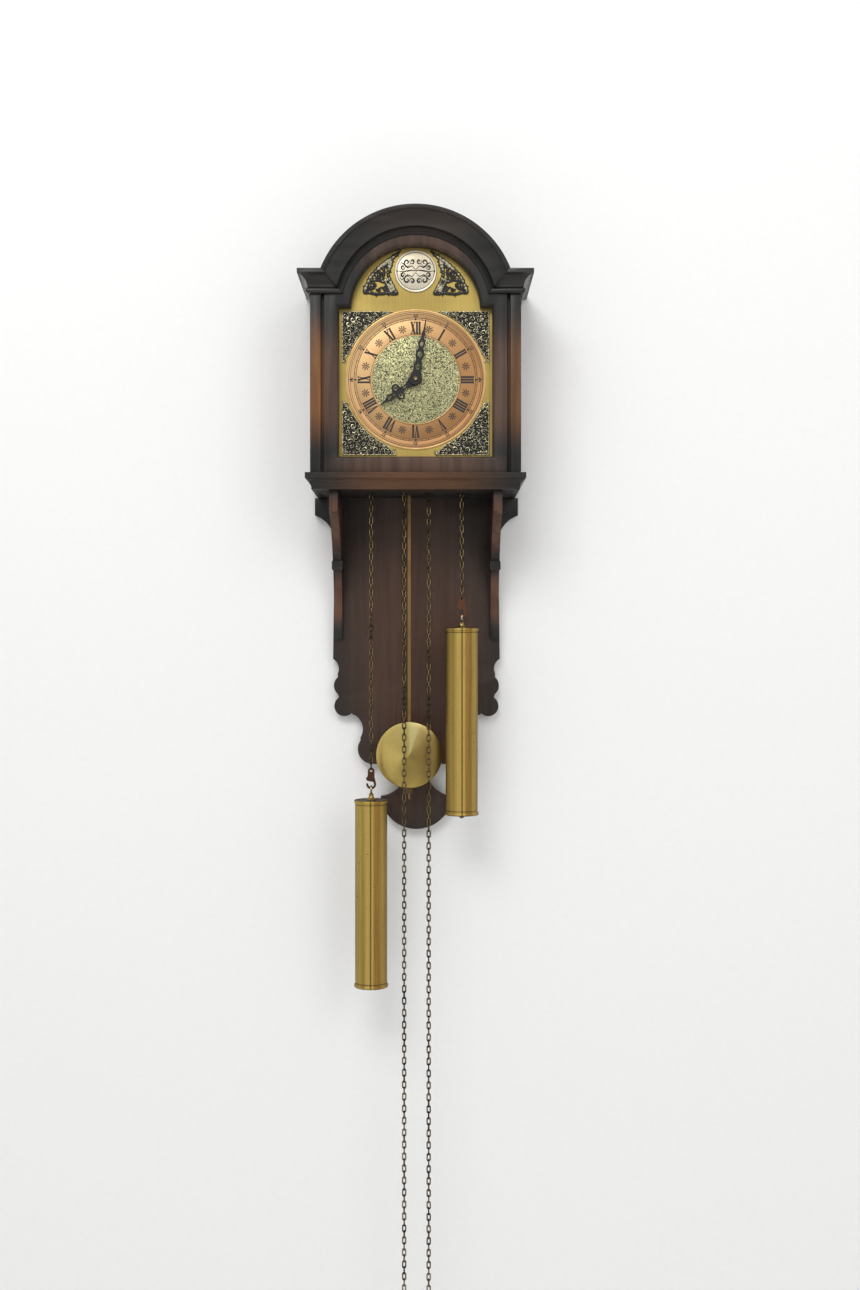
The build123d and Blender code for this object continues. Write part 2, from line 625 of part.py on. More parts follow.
PILLARS = [(-52, -50), (52, -50), (-30, -203), (30, -203)]
pivots = [SECOND, THIRD, ESCAPE, ANCHOR, GOING, STRIKE]
plates = {}
for name, (near, far) in (("back_plate", BACK_PLATE), ("front_plate", FRONT_PLATE)):
    plate = block(-PLATE_HALF, PLATE_HALF, near, far, SEAT_TOP, PLATE_TOP)
    for at in pivots:
        plate -= disc(*at, PIVOT_R + PIVOT_FIT, near - 1, far + 1)
    plate -= disc(*CENTRE, CENTRE_PIVOT_R + PIVOT_FIT, near - 1, far + 1)
    for at in PILLARS:
        plate -= disc(*at, 2.0, near - 1, far + 1)
    plates[name] = plate
plates["front_plate"] += disc(*MINUTE, STUD_R, FRONT_PLATE[1] - 1, DIAL_BACK - 0.3)
for name, plate in plates.items():
    write(name, plate)
pillars = []
for at in PILLARS:
    pillar = disc(*at, 3.5, BACK_PLATE[1], FRONT_PLATE[0])
    pillars.append(pillar + disc(*at, 2.0, BACK_PLATE[0], FRONT_PLATE[1]))
write("pillars", *pillars)

# ---- Weights and chains ----


def weight(side, x, lid):
    """One weight: brass shell, iron filling, two caps with the nut below, and its hook."""
    low = lid - WEIGHT_LENGTH
    shell = post(x, CHAIN_DEPTH, WEIGHT_R, low + RIM_HEIGHT, lid - RIM_HEIGHT)
    shell -= post(x, CHAIN_DEPTH, WEIGHT_R - 0.8, low, lid)
    write(f"{side}_weight_shell", shell)
    filling = post(x, CHAIN_DEPTH, WEIGHT_R - 1, low + RIM_HEIGHT + 1, lid - RIM_HEIGHT - 1)
    write(f"{side}_weight_filling", filling)
    caps = []
    for bottom in (low, lid - RIM_HEIGHT):
        cap = post(x, CHAIN_DEPTH, RIM_R, bottom, bottom + RIM_HEIGHT)
        caps.append(fillet(cap.edges(), 1.2))
    nut = post(x, CHAIN_DEPTH, 4.0, low - 4, low) + post(x, CHAIN_DEPTH, 2.2, low - 8, low - 4)
    write(f"{side}_weight_caps", *caps, nut)
    eye = Pos(x, -CHAIN_DEPTH, lid + 3.5) * Cone(5.0, 2.2, 7)
    eye += Pos(x, -CHAIN_DEPTH, lid + 10.5) * Rot(0, 90, 0) * Torus(4.0, 1.1)
    top, mouth = lid + HOOK_HEIGHT, lid + 16.3
    plate = outline(
        (x, mouth, 5.4, 150, 390),
        (x, top - 3.5, 3.5, 0, 180),
    )
    plate -= Pos(x, mouth) * Circle(3.0)
    plate -= Pos(x - 4, mouth + 1) * Rectangle(6, 2.6)
    plate -= Pos(x, top - 3.3) * Circle(1.4)
    write(f"{side}_weight_hook", eye, slab(plate, CHAIN_DEPTH - 0.8, CHAIN_DEPTH + 0.8))


def chain(side, x, lid, outward, end):
    """The weight's strand on one side of the chain wheel and the free strand on the other."""
    taut, free = x + outward * SPROCKET_R, x - outward * SPROCKET_R
    write(f"{side}_weight_chain", post(taut, CHAIN_DEPTH, CHAIN_R, lid + HOOK_HEIGHT, SPROCKET_Z))
    write(f"{side}_free_chain", post(free, CHAIN_DEPTH, CHAIN_R, end, SPROCKET_Z))
    place = Pos(free, -CHAIN_DEPTH, end - END_RING_R - END_RING_WIRE)
    write(f"{side}_chain_ring", place * Rot(90, 0, 0) * Torus(END_RING_R, END_RING_WIRE))


weight("left", LEFT_SPROCKET_X - SPROCKET_R, LEFT_LID_Z)
weight("right", RIGHT_SPROCKET_X + SPROCKET_R, RIGHT_LID_Z)
chain("left", LEFT_SPROCKET_X, LEFT_LID_Z, -1, LEFT_END_Z)
chain("right", RIGHT_SPROCKET_X, RIGHT_LID_Z, 1, RIGHT_END_Z)
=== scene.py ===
import random
from cmath import rect
from math import asin, atan2, cos, degrees, pi, radians, sin, sqrt, tau

import bmesh
import bpy
from mathutils import Matrix, Vector
from mathutils.geometry import tessellate_polygon


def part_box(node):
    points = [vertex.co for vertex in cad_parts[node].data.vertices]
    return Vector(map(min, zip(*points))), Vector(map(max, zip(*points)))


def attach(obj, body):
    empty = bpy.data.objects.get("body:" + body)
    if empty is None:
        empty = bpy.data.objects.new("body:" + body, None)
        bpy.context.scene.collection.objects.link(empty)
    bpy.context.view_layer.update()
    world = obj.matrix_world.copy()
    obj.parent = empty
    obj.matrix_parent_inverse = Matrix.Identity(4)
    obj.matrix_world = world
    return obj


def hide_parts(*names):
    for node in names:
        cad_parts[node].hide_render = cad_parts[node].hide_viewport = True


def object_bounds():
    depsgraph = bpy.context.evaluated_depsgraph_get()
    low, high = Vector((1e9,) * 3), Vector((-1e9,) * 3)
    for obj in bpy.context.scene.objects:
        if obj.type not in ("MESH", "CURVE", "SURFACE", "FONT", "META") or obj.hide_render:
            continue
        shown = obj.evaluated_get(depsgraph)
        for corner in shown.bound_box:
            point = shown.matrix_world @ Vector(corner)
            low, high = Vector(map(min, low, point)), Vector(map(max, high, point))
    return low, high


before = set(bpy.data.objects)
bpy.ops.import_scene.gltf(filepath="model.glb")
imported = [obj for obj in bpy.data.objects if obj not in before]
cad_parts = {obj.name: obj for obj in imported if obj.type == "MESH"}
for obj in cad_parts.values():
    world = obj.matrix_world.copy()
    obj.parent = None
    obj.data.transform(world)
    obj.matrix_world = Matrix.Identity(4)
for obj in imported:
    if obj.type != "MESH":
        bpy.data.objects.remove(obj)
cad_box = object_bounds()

MM = 0.001
VIEW_HIGH, FOCAL = 1290, 1400  # height of the view and distance of its plane, in the same units

# ---------------------------------------------------------------- places


def box(node):
    low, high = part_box(node)
    return Vector(low), Vector(high)


def middle(node):
    low, high = box(node)
    return (low + high) / 2


def link_object(name, data):
    made = bpy.data.objects.new(name, data)
    bpy.context.scene.collection.objects.link(made)
    return made


# ---------------------------------------------------------------- camera and lights


def make_camera():
    camera = link_object("camera", bpy.data.cameras.new("camera"))
    camera.data.sensor_width = 36
    camera.data.lens = camera.data.sensor_width * FOCAL / VIEW_HIGH
    camera.data.clip_start, camera.data.clip_end = 0.05, 20
    camera.location = (0.0149, -1.545, -0.385)
    camera.rotation_euler = (radians(90), 0, 0)
    bpy.context.scene.camera = camera
    bpy.context.scene.view_settings.view_transform = "Standard"


def add_light(name, place, aim, size, power):
    light = bpy.data.lights.new(name, "AREA")
    light.shape = "RECTANGLE"
    light.size, light.size_y = size
    light.energy = power
    lamp = link_object(name, light)
    lamp.location = place
    lamp.rotation_euler = (Vector(aim) - Vector(place)).to_track_quat("-Z", "Y").to_euler()


make_camera()

# ---------------------------------------------------------------- mesh helpers


def mesh_piece(name, verts, faces, smooth=True):
    mesh = bpy.data.meshes.new(name)
    mesh.from_pydata([tuple(v) for v in verts], [], faces)
    mesh.validate()
    bm = bmesh.new()
    bm.from_mesh(mesh)
    bmesh.ops.recalc_face_normals(bm, faces=bm.faces)
    bm.to_mesh(mesh)
    bm.free()
    for p in mesh.polygons:
        p.use_smooth = smooth
    return link_object(name, mesh)


def settle(piece, body, slot, material, *nodes, smooth_angle=35):
    """The piece rides on a body, stands for CAD nodes and gets its material."""
    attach(piece, body)
    if nodes:
        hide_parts(*nodes)
    piece.data.materials.clear()
    piece.data.materials.append(material)
    if smooth_angle and piece.type == "MESH":
        piece.data.set_sharp_from_angle(angle=radians(smooth_angle))
    return piece


class Build:
    """Collects vertices and faces of one piece."""

    def __init__(self):
        self.verts, self.faces = [], []

    def add(self, verts, faces):
        first = len(self.verts)
        self.verts += [Vector(v) for v in verts]
        self.faces += [tuple(first + i for i in f) for f in faces]

    def lathe(self, profile, place, axis="Y", steps=96):
        """Turns (radius, along) pairs about an axis; along Y counts towards the front."""
        verts, faces, rings = [], [], []
        for r, h in profile:
            if r < 1e-9:
                rings.append([len(verts)])
                verts.append(self.turned(0, 0, h, axis) + place)
                continue
            rings.append(list(range(len(verts), len(verts) + steps)))
            for k in range(steps):
                a = tau * k / steps
                verts.append(self.turned(r * cos(a), r * sin(a), h, axis) + place)
        for lower, upper in zip(rings, rings[1:]):
            for k in range(steps):
                n = (k + 1) % steps
                a, b = lower[k % len(lower)], lower[n % len(lower)]
                c, d = upper[n % len(upper)], upper[k % len(upper)]
                corners = []
                for i in (a, b, c, d):
                    if i not in corners:
                        corners.append(i)
                if len(corners) > 2:
                    faces.append(tuple(corners))
        self.add(verts, faces)

    @staticmethod
    def turned(u, v, h, axis):
        return Vector((u, -h, v)) if axis == "Y" else Vector((u, v, h))

    def tube(self, points, radii, sides=8, closed=False):
        """A round tube along points; radii is one number or one for each point."""
        points = [Vector(p) for p in points]
        count = len(points)
        radii = [radii] * count if isinstance(radii, (int, float)) else radii
        verts, faces, up = [], [], None
        for k, p in enumerate(points):
            ahead = points[(k + 1) % count] if closed or k < count - 1 else p
            behind = points[k - 1] if closed or k > 0 else p
            along = (ahead - behind).normalized()
            if up is None:
                up = along.orthogonal().normalized()
            up = (up - along * up.dot(along)).normalized()
            side = along.cross(up)
            for j in range(sides):
                a = tau * j / sides
                verts.append(p + (up * cos(a) + side * sin(a)) * radii[k])
        for k in range(count if closed else count - 1):
            n = (k + 1) % count
            for j in range(sides):
                m = (j + 1) % sides
                faces.append((k * sides + j, k * sides + m, n * sides + m, n * sides + j))
        if not closed:
            faces.append(tuple(range(sides)))
            faces.append(tuple(range((count - 1) * sides, count * sides)))
        self.add(verts, faces)

    def prism(self, outline, back, front):
        """A flat shape of (x, z) points from y = back to y = front."""
        n = len(outline)
        verts = [(x, y, z) for y in (back, front) for x, z in outline]
        faces = [tuple(range(n)), tuple(range(n, 2 * n))]
        faces += [(k, (k + 1) % n, n + (k + 1) % n, n + k) for k in range(n)]
        self.add(verts, faces)

    def piece(self, name, smooth=True):
        return mesh_piece(name, self.verts, self.faces, smooth)


def on_dial(angle, r):
    """The (x, z) at clock angle, in degrees clockwise from XII, and radius r."""
    a = radians(90 - angle)
    return DIAL.x + r * cos(a), DIAL.z + r * sin(a)


def fresh_mesh(piece, name):
    """The piece's mesh with its modifiers, as a new object."""
    bpy.context.view_layer.update()
    seen = piece.evaluated_get(bpy.context.evaluated_depsgraph_get())
    mesh = bpy.data.meshes.new_from_object(seen)
    mesh.name = name
    mesh.transform(piece.matrix_world)
    made = link_object(name, mesh)
    data = piece.data
    bpy.data.objects.remove(piece)
    if isinstance(data, bpy.types.Mesh):
        bpy.data.meshes.remove(data)
    else:
        bpy.data.curves.remove(data)
    return made


def softened(node, width):
    """A copy of a CAD node with its edges eased."""
    name = node + "_eased"
    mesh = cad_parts[node].data.copy()
    mesh.name = name
    bm = bmesh.new()
    bm.from_mesh(mesh)
    bmesh.ops.remove_doubles(bm, verts=bm.verts, dist=1e-6)
    bmesh.ops.dissolve_limit(bm, angle_limit=radians(0.6), verts=bm.verts, edges=bm.edges)
    bm.to_mesh(mesh)
    bm.free()
    mesh.materials.clear()
    made = link_object(name, mesh)
    bevel = made.modifiers.new("ease", "BEVEL")
    bevel.width = width
    bevel.segments = 2
    bevel.limit_method = "ANGLE"
    bevel.angle_limit = radians(32)
    bevel.use_clamp_overlap = True
    made = fresh_mesh(made, name)
    for p in made.data.polygons:
        p.use_smooth = True
    return made


# ---------------------------------------------------------------- material helpers


class Shade:
    """A small builder for node materials."""

    def __init__(self, name):
        self.material = bpy.data.materials.new(name)
        self.material.use_nodes = True
        self.tree = self.material.node_tree
        self.shader = self.tree.nodes["Principled BSDF"]

    def node(self, kind, values=None, **props):
        made = self.tree.nodes.new(kind)
        for key, value in props.items():
            setattr(made, key, value)
        for key, value in (values or {}).items():
            if isinstance(value, bpy.types.NodeSocket):
                self.tree.links.new(value, made.inputs[key])
            else:
                made.inputs[key].default_value = value
        return made

    def set(self, **values):
        names = {"colour": "Base Color", "rough": "Roughness", "metal": "Metallic", "normal": "Normal"}
        names |= {"coat": "Coat Weight", "coat_rough": "Coat Roughness", "aniso": "Anisotropic"}
        names |= {"specular": "Specular IOR Level", "tangent": "Tangent"}
        for key, value in values.items():
            socket = self.shader.inputs[names[key]]
            if isinstance(value, bpy.types.NodeSocket):
                self.tree.links.new(value, socket)
            else:
                socket.default_value = (*value, 1) if isinstance(value, tuple) else value

    def place(self, scale=(1, 1, 1), shift=(0, 0, 0), turn=(0, 0, 0)):
        where = self.node("ShaderNodeTexCoord").outputs["Object"]
        values = {"Vector": where, "Scale": scale, "Location": shift, "Rotation": turn}
        return self.node("ShaderNodeMapping", values).outputs[0]

    def axis(self, where, which):
        return self.node("ShaderNodeSeparateXYZ", {0: where}).outputs[which]

    def noise(self, where, detail=4.0, rough=0.55, twist=0.0):
        """Cloudy noise; where is a place, or a scale, or a tuple of scale, shift and turn."""
        if isinstance(where, (int, float)):
            where = self.place((where,) * 3)
        elif isinstance(where, tuple):
            where = self.place(*where) if isinstance(where[0], tuple) else self.place(where)
        values = {"Vector": where, "Scale": 1.0, "Detail": detail}
        values |= {"Roughness": rough, "Distortion": twist}
        return self.node("ShaderNodeTexNoise", values).outputs["Fac"]

    def cells(self, where, scale):
        return self.node("ShaderNodeTexVoronoi", {"Vector": where, "Scale": scale}).outputs["Distance"]

    def maths(self, how, a, b=0.0, clamp=False):
        return self.node("ShaderNodeMath", {0: a, 1: b}, operation=how, use_clamp=clamp).outputs[0]

    def times(self, a, b, clamp=False):
        return self.maths("MULTIPLY", a, b, clamp)

    def off(self, value, at):
        """How far value lies from at, on either side."""
        return self.maths("ABSOLUTE", self.maths("SUBTRACT", value, at))

    def line(self, value, at, solid, edge, strength=1.0):
        """Full strength within solid of at, fading to 0 at edge."""
        return self.span(self.off(value, at), solid, edge, (strength, 0.0))

    def span(self, value, low, high, to=(0.0, 1.0)):
        values = {"Value": value, "From Min": low, "From Max": high, "To Min": to[0], "To Max": to[1]}
        return self.node("ShaderNodeMapRange", values, interpolation_type="SMOOTHSTEP").outputs["Result"]

    def mix(self, share, a, b, how="MIX"):
        made = self.tree.nodes.new("ShaderNodeMix")
        made.data_type, made.blend_type = "RGBA", how
        for socket, value in ((made.inputs[0], share), (made.inputs[6], a), (made.inputs[7], b)):
            if isinstance(value, bpy.types.NodeSocket):
                self.tree.links.new(value, socket)
            else:
                socket.default_value = (*value, 1) if isinstance(value, tuple) else value
        return made.outputs[2]

    def bump(self, height, strength, distance):
        values = {"Height": height, "Strength": strength, "Distance": distance}
        return self.node("ShaderNodeBump", values).outputs[0]

    def glow(self, centre, half):
        """1 inside an ellipse in x and z about centre, falling to 0 outside, for shaded finishes and
        painted light.
        """
        scale = (1 / half[0], 1, 1 / half[1])
        shift = (-centre[0] / half[0], 0, -centre[1] / half[1])
        where = self.place(scale, shift)
        x, z = self.axis(where, 0), self.axis(where, 2)
        r2 = self.maths("ADD", self.times(x, x), self.times(z, z))
        return self.span(self.maths("SQRT", r2), 0.35, 1.1, (1.0, 0.0))


# ---------------------------------------------------------------- chains


def worn_wire(name):
    """Black-brown chain wire with a painted gold glint where its links face straight front and back."""
    s = Shade(name)
    facing = s.axis(s.node("ShaderNodeNewGeometry").outputs["Normal"], 1)
    patch = s.noise((90, 90, 60), 3.0, 0.6)
    # painted glint: gold on the crests that face front and back, broken into patches
    wear_and_glint = s.span(s.off(facing, 0.0), 0.90, 0.995)
    wear_and_glint = s.times(wear_and_glint, s.span(patch, 0.34, 0.56, (0.15, 1.0)))
    grit = s.noise(700, 2.0, 0.5)
    dark = s.mix(grit, (0.010, 0.008, 0.006), (0.032, 0.023, 0.014))
    s.set(metal=1.0, colour=s.mix(wear_and_glint, dark, (0.50, 0.37, 0.165)))
    s.set(rough=s.span(wear_and_glint, 0.0, 1.0, (0.42, 0.24)))
    s.set(normal=s.bump(grit, 0.12, 0.0001))
    return s.material


PITCH, LINK_WIDE, WIRE = 6.35 * MM, 4.8 * MM, 1.5 * MM


def link_line(steps=5):
    """The centre line of one link in its own plane (across, along)."""
    bend = (LINK_WIDE - WIRE) / 2
    straight = (PITCH + WIRE) / 2 - bend
    points = []
    for end in (0, 1):
        for k in range(steps + 1):
            a = pi * (end + k / steps)
            points.append((bend * cos(a), (straight if end == 0 else -straight) + bend * sin(a)))
    return points


LINK = link_line()


def route(points):
    """The smooth line of a hanging chain, from its NURBS spline."""
    curve = bpy.data.curves.new("route", "CURVE")
    curve.dimensions = "3D"
    spline = curve.splines.new("NURBS")
    spline.points.add(len(points) - 1)
    for point, place in zip(spline.points, points):
        point.co = (*place, 1)
    spline.order_u = 3
    spline.use_endpoint_u = True
    line = fresh_mesh(link_object("route", curve), "route_line")
    found = [v.co.copy() for v in line.data.vertices]
    bpy.data.objects.remove(line)
    return found


def links(name, line, first_turn, seed):
    """Links along a line, each turned a quarter from the one before, with a little slack."""
    rng, made = random.Random(seed), Build()
    lengths = [0.0]
    for a, b in zip(line, line[1:]):
        lengths.append(lengths[-1] + (b - a).length)
    at, k, segment = PITCH / 2 + WIRE, 0, 0
    while at + PITCH / 2 <= lengths[-1]:
        while lengths[segment + 1] < at:
            segment += 1
        share = (at - lengths[segment]) / (lengths[segment + 1] - lengths[segment])
        centre = line[segment].lerp(line[segment + 1], share)
        turn = first_turn + (pi / 2 if k % 2 else 0) + rng.uniform(-0.18, 0.18)
        lean = rng.uniform(-0.035, 0.035)
        points = []
        for u, v in LINK:
            across, along = u * cos(lean) - v * sin(lean), u * sin(lean) + v * cos(lean)
            points.append(centre + Vector((across * cos(turn), across * sin(turn), along)))
        made.tube(points, WIRE / 2, 6, closed=True)
        at += PITCH
        k += 1
    return made.piece(name)


def end_ring(side):
    low, high = box(f"{side}_chain_ring")
    centre = (low + high) / 2
    wire = (high.y - low.y) / 2
    r = (high.x - low.x) / 2 - wire
    made = Build()
    line = [centre + Vector((r * cos(tau * k / 48), 0, r * sin(tau * k / 48))) for k in range(48)]
    made.tube(line, wire, 10, closed=True)
    ring = made.piece(f"{side}_pull_ring")
    return settle(ring, f"{side}_chain", "chain_bronze", CHAIN_BRONZE, f"{side}_chain_ring")


def free_chain(side, seed):
    low, high = box(f"{side}_free_chain")
    x, y = (low.x + high.x) / 2, (low.y + high.y) / 2
    foot = low.z + 0.975 * MM - PITCH / 2 - WIRE
    line = route([(x, y, foot), (x, y, (low.z + high.z) / 2), (x, y, high.z)])
    piece = links(f"{side}_free_links", line, pi / 2, seed)
    settle(piece, f"{side}_chain", "chain_bronze", CHAIN_BRONZE, f"{side}_free_chain", smooth_angle=80)
    ring = end_ring(side)


def weight_chain(side, seed):
    low, high = box(f"{side}_weight_chain")
    x, y = (low.x + high.x) / 2, (low.y + high.y) / 2
    foot = low.z + 1.275 * MM - PITCH / 2 - WIRE
    piece = links(f"{side}_weight_links", route([(x, y, foot), (x, y, high.z)]), pi / 2, seed)
    settle(piece, f"{side}_weight", "chain_bronze", CHAIN_BRONZE, f"{side}_weight_chain", smooth_angle=80)


CHAIN_BRONZE = worn_wire("chain_bronze")
for number, side in enumerate(("left", "right")):
    free_chain(side, 21 + number)
    weight_chain(side, 11 + number)

# ---------------------------------------------------------------- materials


def wood(name, grain, glows, warm=(0.125, 0.043, 0.022), painted_recess_shade=None, gloss=0.40, figure=1.0, coat=0.05):
    """Dark stained walnut; grain is the axis along the fibres and glows are the lighter fields, of the
    shaded stain and of painted light.

    A painted recess shade darkens what lies inside a radius about a point in x and z, the shade inside a
    hollow.
    """
    deep = (0.0195, 0.0186, 0.0175)
    s = Shade(name)
    across, along = 110.0, 6.0
    fibre = tuple(along if k == grain else across for k in range(3))
    coarse = s.noise(fibre, 5.0, 0.6, 0.35)
    pore = s.noise(tuple(v * (9 if v == across else 5) for v in fibre), 3.0, 0.6)
    cloud = s.noise(9, 3.0, 0.5)
    lit = None
    for centre, half, *share in glows:
        field = s.times(s.glow(centre, half), *(share or [1.0]))
        lit = field if lit is None else s.maths("MAXIMUM", lit, field)
    lit = lit if lit is not None else s.span(cloud, 0.2, 0.9, (0.0, 0.25))
    lit = s.times(lit, s.span(cloud, 0.25, 0.75, (0.72, 1.0)), clamp=True)
    stain = s.mix(lit, deep, warm)
    streak = s.mix(s.span(coarse, 0.34, 0.68), (1 - 0.29 * figure,) * 3, (1 + 0.22 * figure,) * 3)
    colour = s.mix(1.0, stain, streak, "MULTIPLY")
    dots = s.span(pore, 0.60, 0.70)
    colour = s.mix(s.times(dots, 0.40), colour, (0.010, 0.007, 0.006))
    # painted shade: inside the radius the colour is darkened by half
    if painted_recess_shade:
        height, radius = painted_recess_shade
        where = s.place((1, 0, 1), (0, 0, -height))
        away = s.node("ShaderNodeVectorMath", {0: where}, operation="LENGTH").outputs["Value"]
        outside = s.span(away, radius - 0.5 * MM, radius + 1.5 * MM)
        colour = s.mix(outside, s.mix(0.5, colour, (0, 0, 0)), colour)
    rough = s.span(coarse, 0.3, 0.7, (gloss + 0.08, gloss - 0.04))
    height = s.maths("SUBTRACT", s.times(coarse, 0.5), dots)
    s.set(colour=colour, rough=rough, normal=s.bump(height, 0.20, 0.0003))
    s.set(specular=0.24, coat=coat, coat_rough=0.3)
    return s.material


def brass(name, colour, dull, rough, grain=None, spots=0.35, bump=0.12):
    """Metal with brushed lines along one axis, tarnish clouds and small spots."""
    s = Shade(name)
    cloud = s.noise(28, 5.0, 0.6, 0.4)
    lines = tuple(12.0 if k == grain else 900.0 for k in range(3)) if grain is not None else (600.0,) * 3
    brushed = s.noise(lines, 2.0, 0.5)
    tone = s.mix(s.span(cloud, 0.38, 0.72), colour, dull)
    tone = s.mix(s.span(brushed, 0.3, 0.75, (0.0, 0.22)), tone, tuple(0.5 * c for c in dull))
    speck = s.span(s.cells(s.place((1, 1, 1)), 150.0), 0.06, 0.14, (1.0, 0.0))
    speck = s.times(speck, s.span(s.noise(40), 0.55, 0.68))
    tone = s.mix(s.times(speck, spots), tone, (0.05, 0.035, 0.02))
    gloss = s.maths("ADD", s.span(cloud, 0.3, 0.75, (rough, rough + 0.14)), s.times(speck, 0.3))
    s.set(metal=1.0, colour=tone, rough=gloss, normal=s.bump(brushed, bump, 0.0002))
    return s.material


def weight_brass(name, node, lines=()):
    """Old lacquered brass tube: drawn streaks along it, knocks and spots, and painted light in bands about
    it: an amber reflection and a dark reflection line on the front, pale painted highlights, painted shade
    towards the sides.
    """
    s = Shade(name)
    centre = middle(node)
    where = s.place((1, 1, 1), (-centre.x, -centre.y, 0))
    x, y, z = (s.axis(where, k) for k in range(3))
    turn = s.maths("ARCTAN2", x, s.times(y, -1.0))
    ring = s.node("ShaderNodeCombineXYZ", {0: turn, 2: z}).outputs[0]
    scaled = s.node("ShaderNodeMapping", {"Vector": ring, "Scale": (3.2, 1, 4.0)}).outputs[0]
    streak = s.noise(scaled, 5.0, 0.65, 0.2)
    fine = s.node("ShaderNodeMapping", {"Vector": ring, "Scale": (60.0, 1, 9.0)}).outputs[0]
    drawn = s.noise(fine, 3.0, 0.6)
    tone = s.mix(s.span(streak, 0.30, 0.70), (0.52, 0.365, 0.100), (0.35, 0.24, 0.064))
    # painted shade: darker towards the sides, away from the front
    tone = s.mix(s.span(s.off(turn, 0.0), 0.95, 1.45, (0.0, 0.75)), tone, (0.13, 0.085, 0.028))
    # painted reflection: an amber band down the tube, just right of the front
    painted_amber_reflection = s.line(turn, 0.40, 0.10, 0.40)
    painted_amber_reflection = s.times(painted_amber_reflection, s.span(drawn, 0.25, 0.7, (0.55, 1.0)))
    tone = s.mix(s.times(painted_amber_reflection, 0.75), tone, (0.27, 0.125, 0.032))
    # painted reflection: a thin dark line straight down the front
    painted_dark_reflection = s.line(turn, 0.0, 0.02, 0.07)
    tone = s.mix(s.times(painted_dark_reflection, 0.8), tone, (0.12, 0.065, 0.02))
    # painted highlights: two pale stripes either side of the front
    pale = s.line(turn, -0.20, 0.06, 0.22)
    pale = s.maths("MAXIMUM", pale, s.line(turn, 0.12, 0.02, 0.08))
    tone = s.mix(s.times(pale, 0.6), tone, (0.64, 0.465, 0.135))
    tone = s.mix(s.span(drawn, 0.45, 0.8, (0.0, 0.35)), tone, (0.24, 0.16, 0.045))
    speck = s.span(s.cells(s.place((1, 1, 1)), 210.0), 0.10, 0.2, (1.0, 0.0))
    patch = s.span(s.noise(((30, 30, 22), (0.31, 0, 0.1)), 3.0), 0.52, 0.62)
    speck = s.times(speck, patch)
    tone = s.mix(s.times(speck, 0.8), tone, (0.05, 0.03, 0.015))
    scratch = s.noise(((260, 260, 1400), (0.2, 0, 0.4), (0.5, 0.2, 0)), 2.0, 0.5)
    tone = s.mix(s.times(s.span(scratch, 0.66, 0.72), 0.55), tone, (0.10, 0.06, 0.02))
    wipe = s.span(s.noise(((14, 14, 5), (0.6, 0.1, 0)), 4.0), 0.56, 0.72, (0.0, 0.45))
    tone = s.mix(wipe, tone, (0.22, 0.145, 0.050))
    for height in lines:
        tone = s.mix(s.line(z, height, 0.25 * MM, 0.75 * MM, 0.9), tone, (0.035, 0.022, 0.010))
    rough = s.maths("ADD", s.span(streak, 0.3, 0.7, (0.46, 0.56)), s.times(speck, 0.2))
    s.set(metal=1.0, colour=tone, rough=rough, normal=s.bump(drawn, 0.10, 0.0002))
    return s.material


def spun_brass(name, node):
    """Turned brass: fine circular lines about the middle of a disc."""
    s = Shade(name)
    centre = middle(node)
    where = s.place((1, 1, 1), (-centre.x, 0, -centre.z))
    x, z = s.axis(where, 0), s.axis(where, 2)
    r = s.maths("SQRT", s.maths("ADD", s.times(x, x), s.times(z, z)))
    turn = s.maths("ARCTAN2", x, z)
    ring = s.node("ShaderNodeCombineXYZ", {0: s.times(r, 2600.0), 1: s.times(turn, 1.2)})
    lines = s.noise(ring.outputs[0], 3.0, 0.6)
    cloud = s.noise(40, 4.0, 0.6)
    tone = s.mix(s.span(cloud, 0.35, 0.75), (0.60, 0.45, 0.130), (0.46, 0.33, 0.090))
    # painted sheen of the turning lines, a painted highlight and painted shade: brightest above, soft on
    # the left, dark on the right
    for way, start, share, sheen in (
        (0.17, 0.966, 0.90, (1.0, 0.90, 0.40)),
        (0.02, 0.55, 0.45, (0.80, 0.66, 0.28)),
        (-1.45, 0.10, 0.55, (0.78, 0.60, 0.20)),
        (1.70, 0.15, 0.70, (0.20, 0.125, 0.045)),
        (3.05, 0.55, 0.45, (0.34, 0.235, 0.070)),
    ):
        beam = s.maths("COSINE", s.maths("SUBTRACT", turn, way))
        tone = s.mix(s.span(beam, start, 1.0, (0.0, share)), tone, sheen)
    tone = s.mix(s.span(lines, 0.35, 0.75, (0.0, 0.3)), tone, (0.33, 0.23, 0.07))
    tangent = s.node("ShaderNodeTangent", direction_type="RADIAL", axis="Y").outputs[0]
    s.set(metal=1.0, colour=tone, rough=s.span(cloud, 0.3, 0.7, (0.28, 0.36)), tangent=tangent)
    s.set(aniso=0.65, normal=s.bump(lines, 0.10, 0.0001))
    return s.material


def etched_disc(name):
    """Pale gilt with a dense, curly, black-filled etching."""
    s = Shade(name)
    drift = s.noise(160, 2.0, 0.5)
    swirl = s.noise(720, 0.8, 0.5, 0.9)
    dark = s.line(swirl, 0.5, 0.050, 0.088)
    pale = s.mix(s.span(drift, 0.3, 0.7), (0.68, 0.645, 0.335), (0.56, 0.54, 0.265))
    tone = s.mix(dark, pale, (0.012, 0.012, 0.008))
    s.set(colour=tone, metal=s.span(dark, 0.2, 0.8, (0.6, 0.0)), rough=s.span(dark, 0.0, 1.0, (0.46, 0.66)))
    s.set(normal=s.bump(s.maths("SUBTRACT", 1.0, dark), 0.5, 0.0002))
    return s.material


